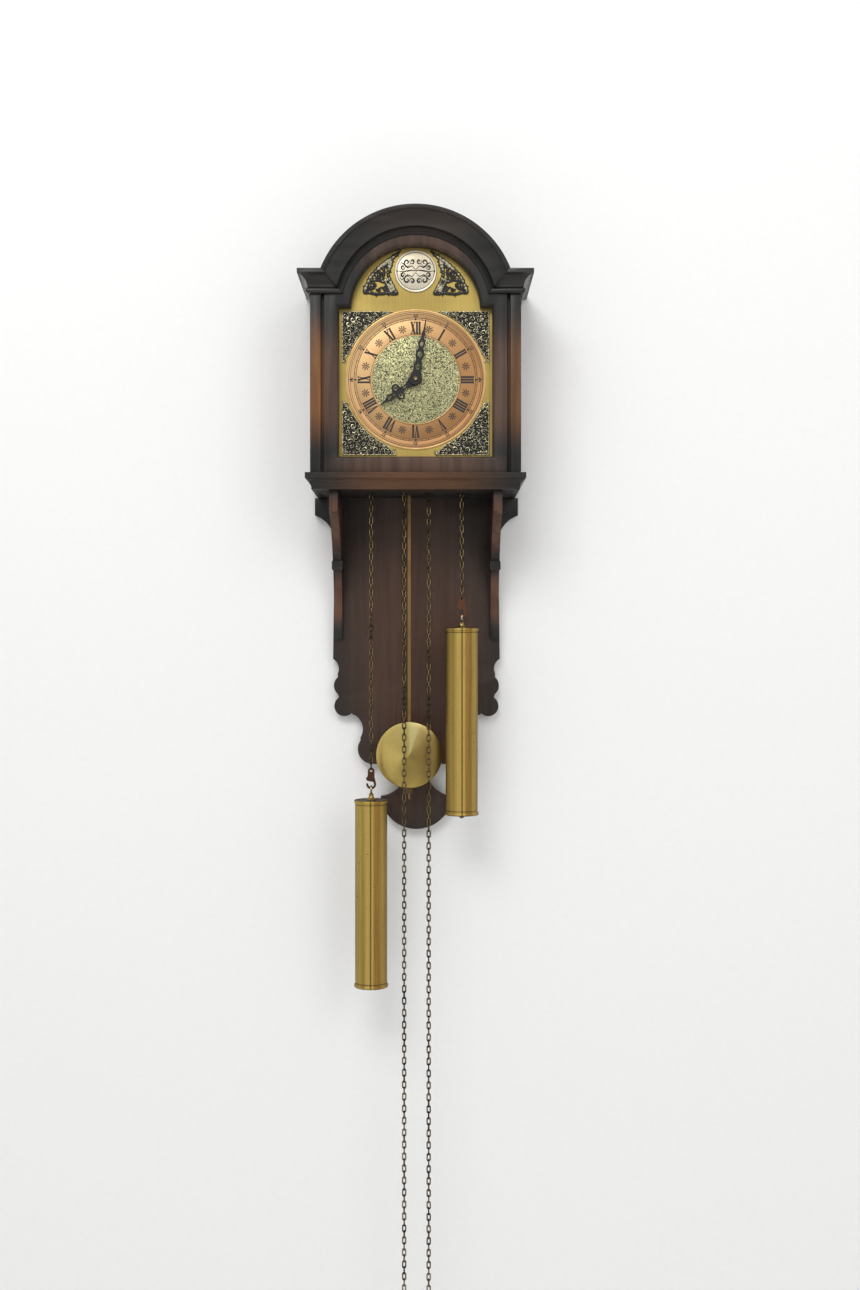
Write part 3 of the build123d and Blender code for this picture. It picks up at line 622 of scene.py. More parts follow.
def copper_face(name):
    """Satin copper-gilt ring, warmer and lighter in clouds, with a fine grain, and painted light: lighter
    on the left, darker on the right.
    """
    s = Shade(name)
    cloud = s.noise(((16, 16, 16), (0.2, 0, 0.6)), 3.0, 0.5, 0.5)
    grit = s.noise(1500, 2.0, 0.6)
    where = s.place()
    # painted light: the ring lighter on the left and darker on the right
    lean = s.maths("SUBTRACT", s.times(s.axis(where, 2), 0.5), s.axis(where, 0))
    side = s.span(lean, -0.11, 0.02, (0.0, 1.0))
    tone = s.mix(side, (0.38, 0.205, 0.088), (0.60, 0.390, 0.190))
    tone = s.mix(s.span(cloud, 0.40, 0.66, (0.0, 0.5)), tone, (0.55, 0.315, 0.135))
    tone = s.mix(s.span(grit, 0.5, 0.8, (0.0, 0.35)), tone, (0.34, 0.14, 0.055))
    s.set(metal=1.0, colour=tone, rough=s.span(grit, 0.3, 0.7, (0.46, 0.56)))
    s.set(normal=s.bump(grit, 0.12, 0.0001))
    return s.material


def brushed_gold(name):
    """Dial plate: gilt sheet brushed up and down."""
    s = Shade(name)
    lines = s.noise((1500, 40, 14), 3.0, 0.6)
    cloud = s.noise(22, 3.0, 0.5)
    tone = s.mix(s.span(cloud, 0.35, 0.7), (0.48, 0.355, 0.108), (0.40, 0.30, 0.092))
    tone = s.mix(s.span(lines, 0.35, 0.75, (0.0, 0.35)), tone, (0.33, 0.24, 0.075))
    # painted shade: the plate darker about a point on the middle line, between the arch and the ring
    where = s.place((1, 1, 1), (0, 0, 0.027))
    off = s.maths("ADD", s.off(s.axis(where, 0), 0.0), s.off(s.axis(where, 2), 0.0))
    tone = s.mix(s.span(off, 0.015, 0.065, (0.45, 0.0)), tone, (0.23, 0.165, 0.052))
    s.set(metal=1.0, colour=tone, rough=s.span(lines, 0.3, 0.7, (0.42, 0.54)))
    s.set(normal=s.bump(lines, 0.18, 0.0001))
    return s.material


def blackened(name, node, depth, black=(0.012, 0.0115, 0.010), rubbed=(0.62, 0.57, 0.38), sheen=0.34):
    """Blackened casting whose high spots are rubbed back to brass."""
    s = Shade(name)
    y, front = s.axis(s.place(), 1), box(node)[0].y
    raised = s.span(y, front + 0.9 * depth, front + 0.4 * depth)
    rub = s.noise(420, 3.0, 0.6)
    wear_and_glint = s.times(raised, s.span(rub, 0.30, 0.55))
    tone = s.mix(wear_and_glint, black, rubbed)
    s.set(metal=s.span(wear_and_glint, 0.0, 0.6, (0.45, 1.0)), colour=tone)
    s.set(rough=s.span(wear_and_glint, 0.0, 1.0, (0.52, sheen)), normal=s.bump(rub, 0.25, 0.0002))
    return s.material


def paint(name, colour, rough=0.4, metal=0.0, grit=900.0, variety=0.35):
    """Thin print, paint or oxide with a slight grain."""
    s = Shade(name)
    grain = s.noise(grit, 3.0, 0.6)
    light = tuple(min(1.0, 1.9 * c + 0.01) for c in colour)
    tone = s.mix(s.span(grain, 0.3, 0.75, (0.0, variety)), colour, light)
    s.set(colour=tone, metal=metal, rough=s.span(grain, 0.3, 0.7, (rough, rough + 0.1)))
    s.set(normal=s.bump(grain, 0.15, 0.0001))
    return s.material


def steel(name, colour=(0.42, 0.42, 0.43), rough=0.3):
    return brass(name, colour, tuple(0.7 * c for c in colour), rough, None, 0.2)


HOOD_MID = middle("side_panel_left").z
DIAL = middle("time_ring")
DIAL_AXIS = Vector((DIAL.x, 0, DIAL.z))
UPRIGHT = Matrix.Rotation(radians(90), 4, "X")
BASE = middle("base_moulding_front")
ARCH_R = 104.8 * MM  # outer radius of the arched moulding
ARCH_HOLLOW = 84.2 * MM  # radius of the cove inside it
ARCH_Z = box("cornice_arch")[1].z - ARCH_R  # the centre that the arch is turned about
STILE_X = (box("front_frame")[1].x + box("dial_frame")[1].x) / 2 + 2 * MM
BAND_X = box("dial_plate")[1].x + 6 * MM
CONSOLE_X = middle("console_right").x


def pairs(x, spots):
    """The same light fields left and right: spots are (z, half width, half height)."""
    return [((side * x, z), (wide, high)) for side in (-1, 1) for z, wide, high in spots]


CASE_WOOD = {
    "backboard": wood(
        "wood_backboard",
        2,
        [((0, -0.38), (0.104, 0.235)), ((0, -0.50), (0.066, 0.10))],
        warm=(0.084, 0.044, 0.029),
        figure=0.55,
    ),
    "stile": wood(
        "wood_stiles",
        2,
        # the right-hand field is weaker, a painted shade: the right stile darker as the light falls from
        # the left
        [((-STILE_X, HOOD_MID), (0.022, 0.073)), ((STILE_X, HOOD_MID), (0.022, 0.073), 0.72)],
        warm=(0.215, 0.094, 0.034),
    ),
    "frame": wood(
        "wood_dial_frame",
        2,
        [
            *pairs(BAND_X, [(-0.115, 0.030, 0.070)]),
            ((0, -0.20), (0.110, 0.022)),
            # a painted warm highlight on the frame about the arch
            ((0, 0.03), (0.09, 0.045), 0.75),
        ],
        warm=(0.100, 0.056, 0.038),
    ),
    "arch": wood(
        "wood_arch",
        0,
        [((0, 0.060), (0.085, 0.045))],
        warm=(0.040, 0.030, 0.025),
        # painted shade in the cove of the arch
        painted_recess_shade=(ARCH_Z, ARCH_HOLLOW),
    ),
    "cornice": wood("wood_cornice", 0, [], warm=(0.05, 0.034, 0.026), coat=0.3),
    "base": wood("wood_base", 0, [((0, BASE.z), (0.098, 0.06))], warm=(0.115, 0.050, 0.021)),
    "side": wood("wood_side", 2, pairs(0.109, [(-0.11, 0.05, 0.08)]), warm=(0.13, 0.060, 0.030)),
    "console": wood(
        "wood_console",
        2,
        pairs(CONSOLE_X, [(-0.258, 0.02, 0.034), (-0.335, 0.02, 0.034)]),
        warm=(0.12, 0.057, 0.034),
    ),
    "inner": wood("wood_inside", 0, [], warm=(0.10, 0.05, 0.03), gloss=0.6),
}
PLATE_GOLD = brushed_gold("gilt_plate")
COPPER = copper_face("copper_ring")
ETCHED = etched_disc("etched_disc")
RING_GOLD = brass("gilt_edge", (0.62, 0.41, 0.175), (0.46, 0.28, 0.11), 0.38, None, 0.1)
NUT_BRASS = brass("nut_brass", (0.40, 0.29, 0.15), (0.27, 0.19, 0.10), 0.34, None, 0.3)
CASTING = blackened("blackened_casting", "corner_spandrels", 0.75 * MM)
DARK_CASTING = blackened(
    "dark_casting", "arch_spandrels", 0.34 * MM, (0.018, 0.0175, 0.016), (0.38, 0.35, 0.24), 0.5
)
INK = paint("black_print", (0.012, 0.011, 0.011), 0.45, 0.0, 1600, 0.2)
RED_INK = paint("brown_print", (0.045, 0.020, 0.010), 0.5, 0.0, 1600, 0.3)
HAND_BLACK = paint("hand_lacquer", (0.008, 0.008, 0.009), 0.34, 0.3, 700, 0.5)
SILVER = brass("silvered_boss", (0.68, 0.62, 0.49), (0.55, 0.48, 0.36), 0.42, None, 0.12)
MOVEMENT = brass("clock_brass", (0.72, 0.52, 0.21), (0.58, 0.40, 0.14), 0.28, 2, 0.2)
ROD_BRASS = brass("rod_brass", (0.36, 0.22, 0.085), (0.24, 0.135, 0.055), 0.36, 2, 0.3)
BOB_BRASS = spun_brass("bob_brass", "pendulum_bob")
DARK_BRASS = brass("dark_brass", (0.17, 0.115, 0.055), (0.09, 0.060, 0.030), 0.42, None, 0.5)
CAP_BRASS = brass("cap_brass", (0.42, 0.30, 0.105), (0.26, 0.17, 0.060), 0.30, None, 0.5)
HOOK_COPPER = brass("hook_copper", (0.145, 0.070, 0.040), (0.075, 0.038, 0.024), 0.38, None, 0.4)
STEEL = steel("plain_steel")
BRIGHT_WIRE = steel("bright_wire", (0.50, 0.44, 0.34), 0.24)
IRON = paint("cast_filling", (0.05, 0.05, 0.052), 0.6, 0.6, 500, 0.4)

# ---------------------------------------------------------------- woodwork

# nodes drawn with eased edges: the width of the easing, the finish and the nodes
EASED = [
    (0.9, "backboard", "backboard"),
    (0.7, "console", "console_left console_right"),
    (0.6, "stile", "front_frame"),
    (0.5, "frame", "dial_frame"),
    (0.4, "arch", "cornice_arch"),
    (0.4, "cornice", "cornice_fronts cornice_returns"),
    (0.4, "base", "base_moulding_front base_moulding_left base_moulding_right"),
    (0.4, "side", "side_panel_left side_panel_right"),
    (0.3, "inner", "arch_roof top_boards"),
]
for width, finish, nodes in EASED:
    for node in nodes.split():
        settle(softened(node, width * MM), "case", "case_wood", CASE_WOOD[finish], node, smooth_angle=28)

# nodes that show as they are in the CAD, each with its detailed material
SHOWN = [
    (CASE_WOOD["inner"], "seat_board"),
    (MOVEMENT, "front_plate back_plate pillars pendulum_cock dial_feet cannon_pinion hour_wheel"),
    (MOVEMENT, "minute_wheel centre_wheel intermediate_wheel third_wheel escape_wheel"),
    (MOVEMENT, "going_great_wheel strike_great_wheel going_chain_wheel strike_chain_wheel"),
    (STEEL, "anchor suspension_spring"),
    (IRON, "left_weight_filling right_weight_filling"),
    (PLATE_GOLD, "dial_plate"),
    (ROD_BRASS, "pendulum_rod"),
    (DARK_BRASS, "rating_nut"),
]
for material, nodes in SHOWN:
    for node in nodes.split():
        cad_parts[node].data.materials.clear()
        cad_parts[node].data.materials.append(material)

# ---------------------------------------------------------------- dial

RING_LOW, RING_HIGH = box("time_ring")
RING_FRONT = -RING_LOW.y  # depth of the ring's face
RING_R = (RING_HIGH.x - RING_LOW.x) / 2
DISC_R = (box("dial_centre")[1].x - box("dial_centre")[0].x) / 2
PRINT = 0.06 * MM  # how far print stands proud


def ring_profile(pairs, back):
    """A closed ring section: back edge, then (radius, depth) pairs from inside out, then back."""
    return [(pairs[0][0], back), *pairs, (pairs[-1][0], back), (pairs[0][0], back)]


def time_ring():
    """The ring's face with two sunk lines and a rounded gilt border."""
    face, back = RING_FRONT - 0.25 * MM, -RING_HIGH.y
    inner, groove, border_r = DISC_R + 0.7 * MM, 0.12 * MM, RING_R - 2.1 * MM
    section = [(inner, face)]
    for r in (RING_R - 11.0 * MM, RING_R - 9.4 * MM):
        section += [(r - 0.25 * MM, face), (r, face - groove), (r + 0.25 * MM, face)]
    section.append((border_r, face))
    made = Build()
    made.lathe(ring_profile(section, back), DIAL_AXIS, steps=180)
    settle(made.piece("time_ring_face"), "case", "ring_copper", COPPER, "time_ring")
    border = Build()
    steps = 8
    for low, high, rise in ((border_r, RING_R, 0.14), (DISC_R + 0.05 * MM, DISC_R + 0.75 * MM, 0.1)):
        across = [k / steps for k in range(steps + 1)]
        arc = [(low + (high - low) * t, face + rise * MM * sin(pi * t)) for t in across]
        border.lathe(ring_profile(arc, back), DIAL_AXIS, steps=180)
    settle(border.piece("time_ring_borders"), "case", "ring_copper", RING_GOLD)
    return face


FACE = time_ring()


def printed(name, shapes, material, slot, depth=None):
    """Thin printed shapes, each a list of (x, z), on the dial."""
    depth = FACE if depth is None else depth
    made = Build()
    for shape in shapes:
        made.prism(shape, -depth, -(depth + PRINT))
    settle(made.piece(name, smooth=False), "case", slot, material, smooth_angle=None)


def circle_line(r, width, steps=180):
    """A thin circle as short quads."""
    turns = [360 * k / steps for k in range(steps + 1)]
    corners = [((a, r), (b, r), (b, r + width), (a, r + width)) for a, b in zip(turns, turns[1:])]
    return [[on_dial(*corner) for corner in shape] for shape in corners]


def stroke(a, b, wide_a, wide_b):
    """A four-cornered stroke from a to b in local (across, up)."""
    dx, dy = b[0] - a[0], b[1] - a[1]
    long = sqrt(dx * dx + dy * dy)
    nx, ny = -dy / long / 2, dx / long / 2
    return [
        (a[0] + nx * wide_a, a[1] + ny * wide_a),
        (b[0] + nx * wide_b, b[1] + ny * wide_b),
        (b[0] - nx * wide_b, b[1] - ny * wide_b),
        (a[0] - nx * wide_a, a[1] - ny * wide_a),
    ]


THICK, THIN, SERIF = 2.05, 0.80, 0.80
NUMERAL_HIGH = 12.2


def numeral(text, height):
    """The strokes of a Roman numeral in millimetres, standing on 0 and centred across."""
    wide = {"I": 2.75, "V": 5.2, "X": 5.4}
    total, shapes, at = sum(wide[c] for c in text), [], 0.0
    for c in text:
        left, mid, right = at, at + wide[c] / 2, at + wide[c]
        if c == "I":
            shapes.append(stroke((mid, 0), (mid, height), THICK, THICK))
            feet = [(mid, 0), (mid, height)]
        elif c == "V":
            shapes.append(stroke((left + 1.2, height), (mid + 0.1, 0), THICK, 1.0))
            shapes.append(stroke((right - 0.9, height), (mid + 0.3, 0), THIN, THIN))
            feet = [(left + 1.2, height), (right - 0.9, height)]
        else:
            shapes.append(stroke((left + 1.1, height), (right - 1.1, 0), THICK, THICK))
            shapes.append(stroke((left + 1.1, 0), (right - 1.1, height), THIN, THIN))
            feet = [(x, y) for x in (left + 1.1, right - 1.1) for y in (0, height)]
        for x, y in feet:
            shapes.append(stroke((x - 1.25, y), (x + 1.25, y), SERIF, SERIF))
        at += wide[c]
    return [[(x - total / 2, y) for x, y in shape] for shape in shapes]


def stand(shapes, angle, r):
    """Places local shapes, in millimetres, on the dial at a clock angle, their foot at radius r."""
    placed = []
    for shape in shapes:
        points = []
        for across, up in shape:
            u, v = across * MM, r + up * MM
            points.append(on_dial(angle + degrees(atan2(u, v)), sqrt(u**2 + v**2)))
        placed.append(points)
    return placed


ROMAN = ["XII", "I", "II", "III", "IIII", "V", "VI", "VII", "VIII", "IX", "X", "XI"]
INNER_LINE, OUTER_LINE = RING_R - 11.2 * MM, RING_R - 3.6 * MM


def dial_print():
    ink, brown = [], []
    for hour, text in enumerate(ROMAN):
        ink += stand(numeral(text, NUMERAL_HIGH), hour * 30, RING_R - 25.4 * MM)
    petal = [(0.5, 0.22), (2.4, 0.66), (4.1, 0.62), (4.4, 0.0), (3.6, -0.55), (2.0, -0.30), (0.5, -0.22)]
    petal = [complex(x, y) for x, y in petal]
    turns = [rect(1, k * pi / 4) for k in range(8)]
    floret = [[((p * turn).real, (p * turn).imag) for p in petal] for turn in turns]
    for hour in range(12):
        ink += stand(floret, hour * 30 + 15, RING_R - 19.3 * MM)
    brown += circle_line(OUTER_LINE, 0.52 * MM) + circle_line(OUTER_LINE - 1.7 * MM, 0.42 * MM)
    brown += circle_line(INNER_LINE, 0.52 * MM) + circle_line(INNER_LINE + 1.9 * MM, 0.45 * MM)
    brown += circle_line(DISC_R + 1.3 * MM, 0.4 * MM)
    for minute in range(60):
        if minute % 5:
            tick = stroke((0, 0), (0, 1.7), 0.42, 0.42)
            brown += stand([tick], minute * 6, INNER_LINE + 0.2 * MM)
        else:
            dart = [(-1.0, 0.1), (0, 2.2), (1.0, 0.1), (0, -1.2)]
            ink += stand([dart], minute * 6, INNER_LINE + 0.6 * MM)
    for quarter in (15, 45):
        for across, up, wide, high in ((0, 4.2, 0.9, 2.8), (-1.6, 3.4, 0.8, 1.6), (1.6, 3.4, 0.8, 1.6)):
            leaf = [(across - wide, up), (across, up + high), (across + wide, up), (across, up - high)]
            ink += stand([leaf], quarter * 6, INNER_LINE + 0.9 * MM)
    printed("dial_numerals", ink, INK, "hand_black")
    printed("dial_lines", brown, RED_INK, "hand_black")


def minute_numbers():
    """The five-minute figures, upright outwards, as in the usual minute ring."""
    for number in range(5, 65, 5):
        if number in (15, 45):
            continue
        curve = bpy.data.curves.new(f"minute_{number}", "FONT")
        curve.body = str(number)
        curve.size = 4.8 * MM
        curve.offset = 0.10 * MM
        curve.align_x, curve.align_y = "CENTER", "CENTER"
        curve.extrude = PRINT / 2
        curve.resolution_u = 3
        label = link_object(f"minute_{number}", curve)
        x, z = on_dial(number * 6, (INNER_LINE + OUTER_LINE) / 2 + 0.6 * MM)
        label.matrix_world = (
            Matrix.Translation((x, -(FACE + PRINT / 2), z))
            @ Matrix.Rotation(radians(number * 6), 4, "Y")
            @ UPRIGHT
        )
        made = fresh_mesh(label, f"minute_figure_{number}")
        settle(made, "case", "hand_black", INK, smooth_angle=None)


def centre_disc():
    low, high = box("dial_centre")
    made = Build()
    front, back = -low.y, -high.y
    hole = 4.2 * MM
    section = [(hole, back), (hole, front), (DISC_R - 0.5 * MM, front), (DISC_R, front - 0.2 * MM)]
    made.lathe([*section, (DISC_R, back), (hole, back)], DIAL_AXIS, steps=120)
    settle(made.piece("centre_disc"), "case", "disc_bronze", ETCHED, "dial_centre")


dial_print()
minute_numbers()
centre_disc()

# ---------------------------------------------------------------- castings


def spiral(x, z, r, turns, start, hand, steps=26):
    """Points of a scroll from its outside at radius r into its eye."""
    points = []
    for k in range(steps):
        t = k / (steps - 1)
        a = start + hand * tau * turns * t
        here = r * (1 - 0.86 * t)
        points.append((x + here * cos(a), z + here * sin(a)))
    return points


def pack_scrolls(inside, bounds, sizes, seed, gap=0.78):
    """Scroll centres that fill a region, largest first."""
    rng, found = random.Random(seed), []
    for size, tries in sizes:
        for _ in range(tries):
            x, z = rng.uniform(bounds[0], bounds[1]), rng.uniform(bounds[2], bounds[3])
            if inside(x, z, size) and all(
                (x - a) ** 2 + (z - b) ** 2 > ((size + c) * gap) ** 2 for a, b, c, _ in found
            ):
                found.append((x, z, size, rng.uniform(0, tau)))
    return found


def scroll_work(made, scrolls, top, rise, weight=0.17):
    """Raised scrolls with a leaf bud in each eye; every other one turns the other way."""
    for number, (x, z, size, start) in enumerate(scrolls):
        hand = 1 if number % 2 else -1
        big = size > 3 * MM
        points = spiral(x, z, size, 1.3 if big else 1.0, start, hand, 24 if big else 13)
        count = len(points)
        thick = max(0.38 * MM, weight * size)
        radii = [thick * (0.55 + 0.45 * sin(pi * min(1, 0.15 + k / count))) for k in range(count)]
        lift = [top - rise * (0.5 + 0.5 * cos(5 * k / count)) for k in range(count)]
        made.tube([(p[0], y, p[1]) for p, y in zip(points, lift)], radii, 6 if big else 5)
        bud = [(0, thick * 0.9), (thick * 0.8, thick * 0.4), (thick * 1.1, -thick)]
        made.lathe(bud, Vector((points[-1][0], top, points[-1][1])), steps=7)
        a = start + hand * 2.4
        leaf = [
            (x + size * 0.98 * cos(a + d), top + 0.15 * MM, z + size * 0.98 * sin(a + d))
            for d in (0, 0.18 * hand, 0.36 * hand, 0.54 * hand)
        ]
        made.tube(leaf, [thick * 0.5, thick * 1.25, thick * 1.1, thick * 0.3], 5)


def beaded(made, points, thick, wave, sides=6):
    """A rail whose thickness swells and narrows along it."""
    made.tube(points, [thick * (1 + wave * sin(1.9 * k)) for k in range(len(points))], sides)


def corner_castings():
    low, high = box("corner_spandrels")
    front, back = low.y, high.y
    made = Build()
    clear = RING_R + 0.6 * MM
    sizes = [(3.2 * MM, 120), (2.5 * MM, 260), (1.9 * MM, 700), (1.35 * MM, 1400)]
    for sz, edge_z, leg, seed in ((1, high.z, 53 * MM, 7), (-1, low.z, 56 * MM, 19)):
        rise = abs(edge_z - DIAL.z)  # from the dial's centre to this casting's outer edge

        def inside(u, v, size):
            """u is in from the side edge and v from the top or bottom edge."""
            away = sqrt((high.x - u) ** 2 + (rise - v) ** 2)
            return min(u, v) > size * 0.75 and away > clear + size * 0.95 and u + v < leg + size

        scrolls = pack_scrolls(inside, (0, leg, 0, leg), sizes, seed, 0.88)
        for sx in (-1, 1):
            placed = []
            for u, v, size, start in scrolls:
                x, z = sx * (high.x - u), edge_z - sz * v
                placed.append((x, z, size, start if sx > 0 else pi - start))
            scroll_work(made, placed, front + 0.55 * MM, 0.4 * MM)
            corner = (sx * (high.x - 0.5 * MM), edge_z - sz * 0.5 * MM)
            along = (sx * (high.x - leg), corner[1])
            down = (corner[0], edge_z - sz * leg)
            for a, b in ((along, corner), (corner, down)):
                a, b = (Vector((x, front + 0.7 * MM, z)) for x, z in (a, b))
                beaded(made, [a.lerp(b, k / 40) for k in range(41)], 0.52 * MM, 0.35)
            first = atan2(abs(down[1] - DIAL.z), abs(down[0]))
            last = atan2(abs(along[1] - DIAL.z), abs(along[0]))
            start_r = sqrt(down[0] ** 2 + (down[1] - DIAL.z) ** 2)
            end_r = sqrt(along[0] ** 2 + (along[1] - DIAL.z) ** 2)
            rail, count = [], 44
            for k in range(count + 1):
                t = k / count
                a = first + (last - first) * t
                r = clear + 0.75 * MM
                r += max(start_r - r, 0) * max(1 - 6 * t, 0) + max(end_r - r, 0) * max(6 * t - 5, 0)
                rail.append((sx * r * cos(a), front + 0.75 * MM, DIAL.z + sz * r * sin(a)))
            beaded(made, rail, 0.50 * MM, 0.3)
            ground = [corner, along, *[(p[0], p[2]) for p in reversed(rail)], down]
            made.prism(ground, back, back - 0.35 * MM)
    piece = made.piece("corner_castings")
    settle(piece, "case", "casting", CASTING, "corner_spandrels", smooth_angle=60)


def vine(made, points, sx, y):
    """A leafy rail through (x, z, half width) points in millimetres, curved smoothly between them."""
    line, widths, steps = [], [], 5
    ends = [points[0], *points, points[-1]]
    for k in range(1, len(ends) - 2):
        for j in range(steps):
            t = j / steps
            weights = (
                (-t + 2 * t * t - t**3) / 2,
                (2 - 5 * t * t + 3 * t**3) / 2,
                (t + 4 * t * t - 3 * t**3) / 2,
                (t**3 - t * t) / 2,
            )
            x, z, r = (sum(w * p[c] for w, p in zip(weights, ends[k - 1 : k + 3])) for c in range(3))
            line.append((sx * x * MM, y, z * MM))
            widths.append(1.2 * r * MM * (1 + 0.16 * sin(2.1 * len(line))))
    x, z, r = points[-1]
    made.tube([*line, (sx * x * MM, y, z * MM)], [*widths, r * MM], 10)


ARCH_VINES = [
    # the outer edge, up to the tip
    [
        (53.6, -19.2, 1.2), (52.6, -14.8, 1.9), (50.2, -9.2, 1.6), (46.9, -2.6, 1.9), (42.6, 3.0, 1.6),
        (37.2, 7.6, 2.1), (31.6, 12.2, 2.3), (26.4, 15.9, 2.1), (21.8, 19.6, 1.6), (18.2, 22.6, 1.2),
        (15.2, 25.4, 0.5),
    ],
    # the inner edge beside the boss
    [
        (18.6, -19.6, 1.2), (22.0, -15.8, 1.9), (25.0, -10.0, 1.9), (27.5, -3.6, 1.6), (28.7, 1.6, 1.5),
        (27.6, 6.6, 1.9), (26.6, 11.6, 2.2), (24.6, 15.2, 1.5),
    ],
    # the foot
    [
        (18.4, -19.7, 1.0), (24.0, -19.7, 1.4), (28.6, -18.4, 1.5), (33.0, -19.2, 1.4), (38.0, -19.8, 1.2),
        (43.0, -19.7, 1.3), (48.0, -18.0, 1.6), (53.8, -19.3, 1.0),
    ],
    # stems across the openings
    [
        (48.4, -5.6, 1.2), (43.4, -5.2, 1.6), (38.6, -5.4, 1.2), (34.0, -6.6, 1.7), (29.6, -5.2, 1.9),
        (27.4, -3.2, 1.2),
    ],
    [(25.0, -17.6, 2.2), (26.4, -13.4, 2.4), (29.6, -9.6, 1.8), (32.4, -7.4, 1.2)],
    [(30.4, -18.2, 1.0), (31.8, -15.4, 1.4), (34.6, -13.2, 1.0), (37.0, -13.4, 0.6)],
    [(33.2, 10.4, 1.2), (33.4, 6.2, 1.5), (32.6, 2.0, 1.2), (33.4, -2.0, 1.0), (34.4, -5.6, 1.0)],
]
# leaf tips that stand out along the outer and inner edges, as (x, z, direction)
ARCH_LEAVES = [(52.8, -12.4, 15), (49.0, -5.8, 25), (44.8, 1.0, 40), (39.8, 6.2, 65), (34.4, 10.6, 50)]
ARCH_LEAVES += [(28.6, 15.2, 75), (23.6, -14.0, 200), (26.4, -7.4, 170), (27.4, 3.4, 190), (25.4, 9.4, 150)]
ARCH_LEAVES += [(24.4, 13.6, 165), (28.4, -20.0, 250), (41.0, -20.4, 265), (22.4, 20.2, 30)]
ARCH_LEAVES += [(19.6, 20.8, 215)]
# scrolls as (x, z, radius, where each starts, half width)
ARCH_SCROLLS = [(38.2, 0.8, 5.0, 60, 1.5), (44.8, -10.6, 5.2, 75, 1.6), (31.0, -13.6, 3.4, 200, 1.3)]
ARCH_SCROLLS += [(38.4, -15.2, 2.6, 20, 0.9), (29.8, 9.4, 2.6, 140, 0.9), (49.6, -15.6, 2.2, 240, 0.8)]


def arch_castings():
    """Openwork castings beside the boss: leafy rails with scrolls between them."""
    low, high = box("arch_spandrels")
    y = (low.y + high.y) / 2
    made = Build()
    for sx in (-1, 1):
        for points in ARCH_VINES:
            vine(made, points, sx, y)
        for x, z, r, start, wide in ARCH_SCROLLS:
            hand = -1 if x > 35 else 1
            curl = spiral(x, z, r, 1.35, radians(start), hand, 30)
            widths = [wide * (0.75 + 0.25 * sin(0.9 * k)) for k in range(len(curl))]
            made.tube([(sx * u * MM, y, v * MM) for u, v in curl], [w * MM for w in widths], 8)
            bud = [(0, 1.4 * wide * MM), (0.9 * wide * MM, wide * MM), (1.5 * wide * MM, -wide * MM)]
            made.lathe(bud, Vector((sx * curl[-1][0] * MM, y, curl[-1][1] * MM)), steps=10)
        for x, z, way in ARCH_LEAVES:
            a = radians(way)
            leaf = [(sx * (x + d * cos(a)) * MM, y, (z + d * sin(a)) * MM) for d in (-1.2, 0.2, 1.4, 2.5)]
            made.tube(leaf, [0.9 * MM, 1.15 * MM, 0.8 * MM, 0.2 * MM], 6)
    flat = 0.36
    for v in made.verts:
        v.y = min(max(y + (v.y - y) * flat, low.y), high.y)
    piece = made.piece("arch_castings")
    settle(piece, "case", "casting", DARK_CASTING, "arch_spandrels", smooth_angle=60)



def boss_piece():
    """The round boss with a turned rim, a ring line, two pins and a plain flourish."""
    low, high = box("boss")
    centre = Vector((middle("boss").x, 0, middle("boss").z))
    r, front, back = (high.x - low.x) / 2, -low.y, -high.y
    section = [(0, front - 0.5 * MM), (r - 3.0 * MM, front - 0.5 * MM), (r - 2.6 * MM, front - 0.62 * MM)]
    section += [(r - 2.2 * MM, front - 0.45 * MM), (r - 1.2 * MM, front), (r - 0.5 * MM, front - 0.1 * MM)]
    section += [(r, front - 0.6 * MM), (r, back), (0, back)]
    made = Build()
    made.lathe(section, centre, steps=120)
    settle(made.piece("boss_disc"), "case", "boss_silver", SILVER, "boss")
    face = front - 0.5 * MM
    marks = Build()
    circle = [tau * k / 96 for k in range(96)]
    ring = r - 2.6 * MM
    line = [(centre.x + ring * cos(a), -(face + 0.05 * MM), centre.z + ring * sin(a)) for a in circle]
    marks.tube(line, 0.26 * MM, 6, closed=True)
    for sx in (-1, 1):
        pin = Vector((centre.x + sx * ring, 0, centre.z))
        marks.lathe([(0, face + 0.45 * MM), (0.9 * MM, face + 0.3 * MM), (1.1 * MM, face)], pin, steps=16)

    def pen(points, widest, sx, sz=1):
        count = len(points)
        swell = [(0.28 + 1.2 * widest * sin(pi * k / (count - 1)) ** 2) * MM for k in range(count)]
        y = -(face + 0.06 * MM)
        where = [(centre.x + sx * 1.06 * u, y, centre.z + sz * 1.22 * v) for u, v in points]
        marks.tube(where, swell, 5)

    curls = ((8.6, 7.4, 3.6, 200, 1), (3.4, 8.4, 2.6, 30, -1), (12.6, 3.4, 2.4, 150, 1))
    for sx in (-1, 1):
        for sz in (-1, 1):
            for x, z, size, start, hand in curls:
                pen(spiral(x * MM, z * MM, size * MM, 1.3, radians(start), hand, 28), 0.55, sx, sz)
            stem = [(0.0, 1.2), (3.6, 4.6), (8.0, 3.0), (11.0, 5.6), (13.8, 7.4), (15.4, 5.4)]
            curve = [(x * MM, z * MM) for x, z in stem]
            pen(curve, 0.45, sx, sz)
        sweep = [(-1.5, 0), (3, 0.9), (8, 0.3), (13.0, -0.5), (17.0, 0.2)]
        pen([(x * MM, z * MM) for x, z in sweep], 0.40, sx)
    settle(marks.piece("boss_flourish"), "case", "hand_black", INK, smooth_angle=60)


corner_castings()
arch_castings()
boss_piece()

# ---------------------------------------------------------------- hands


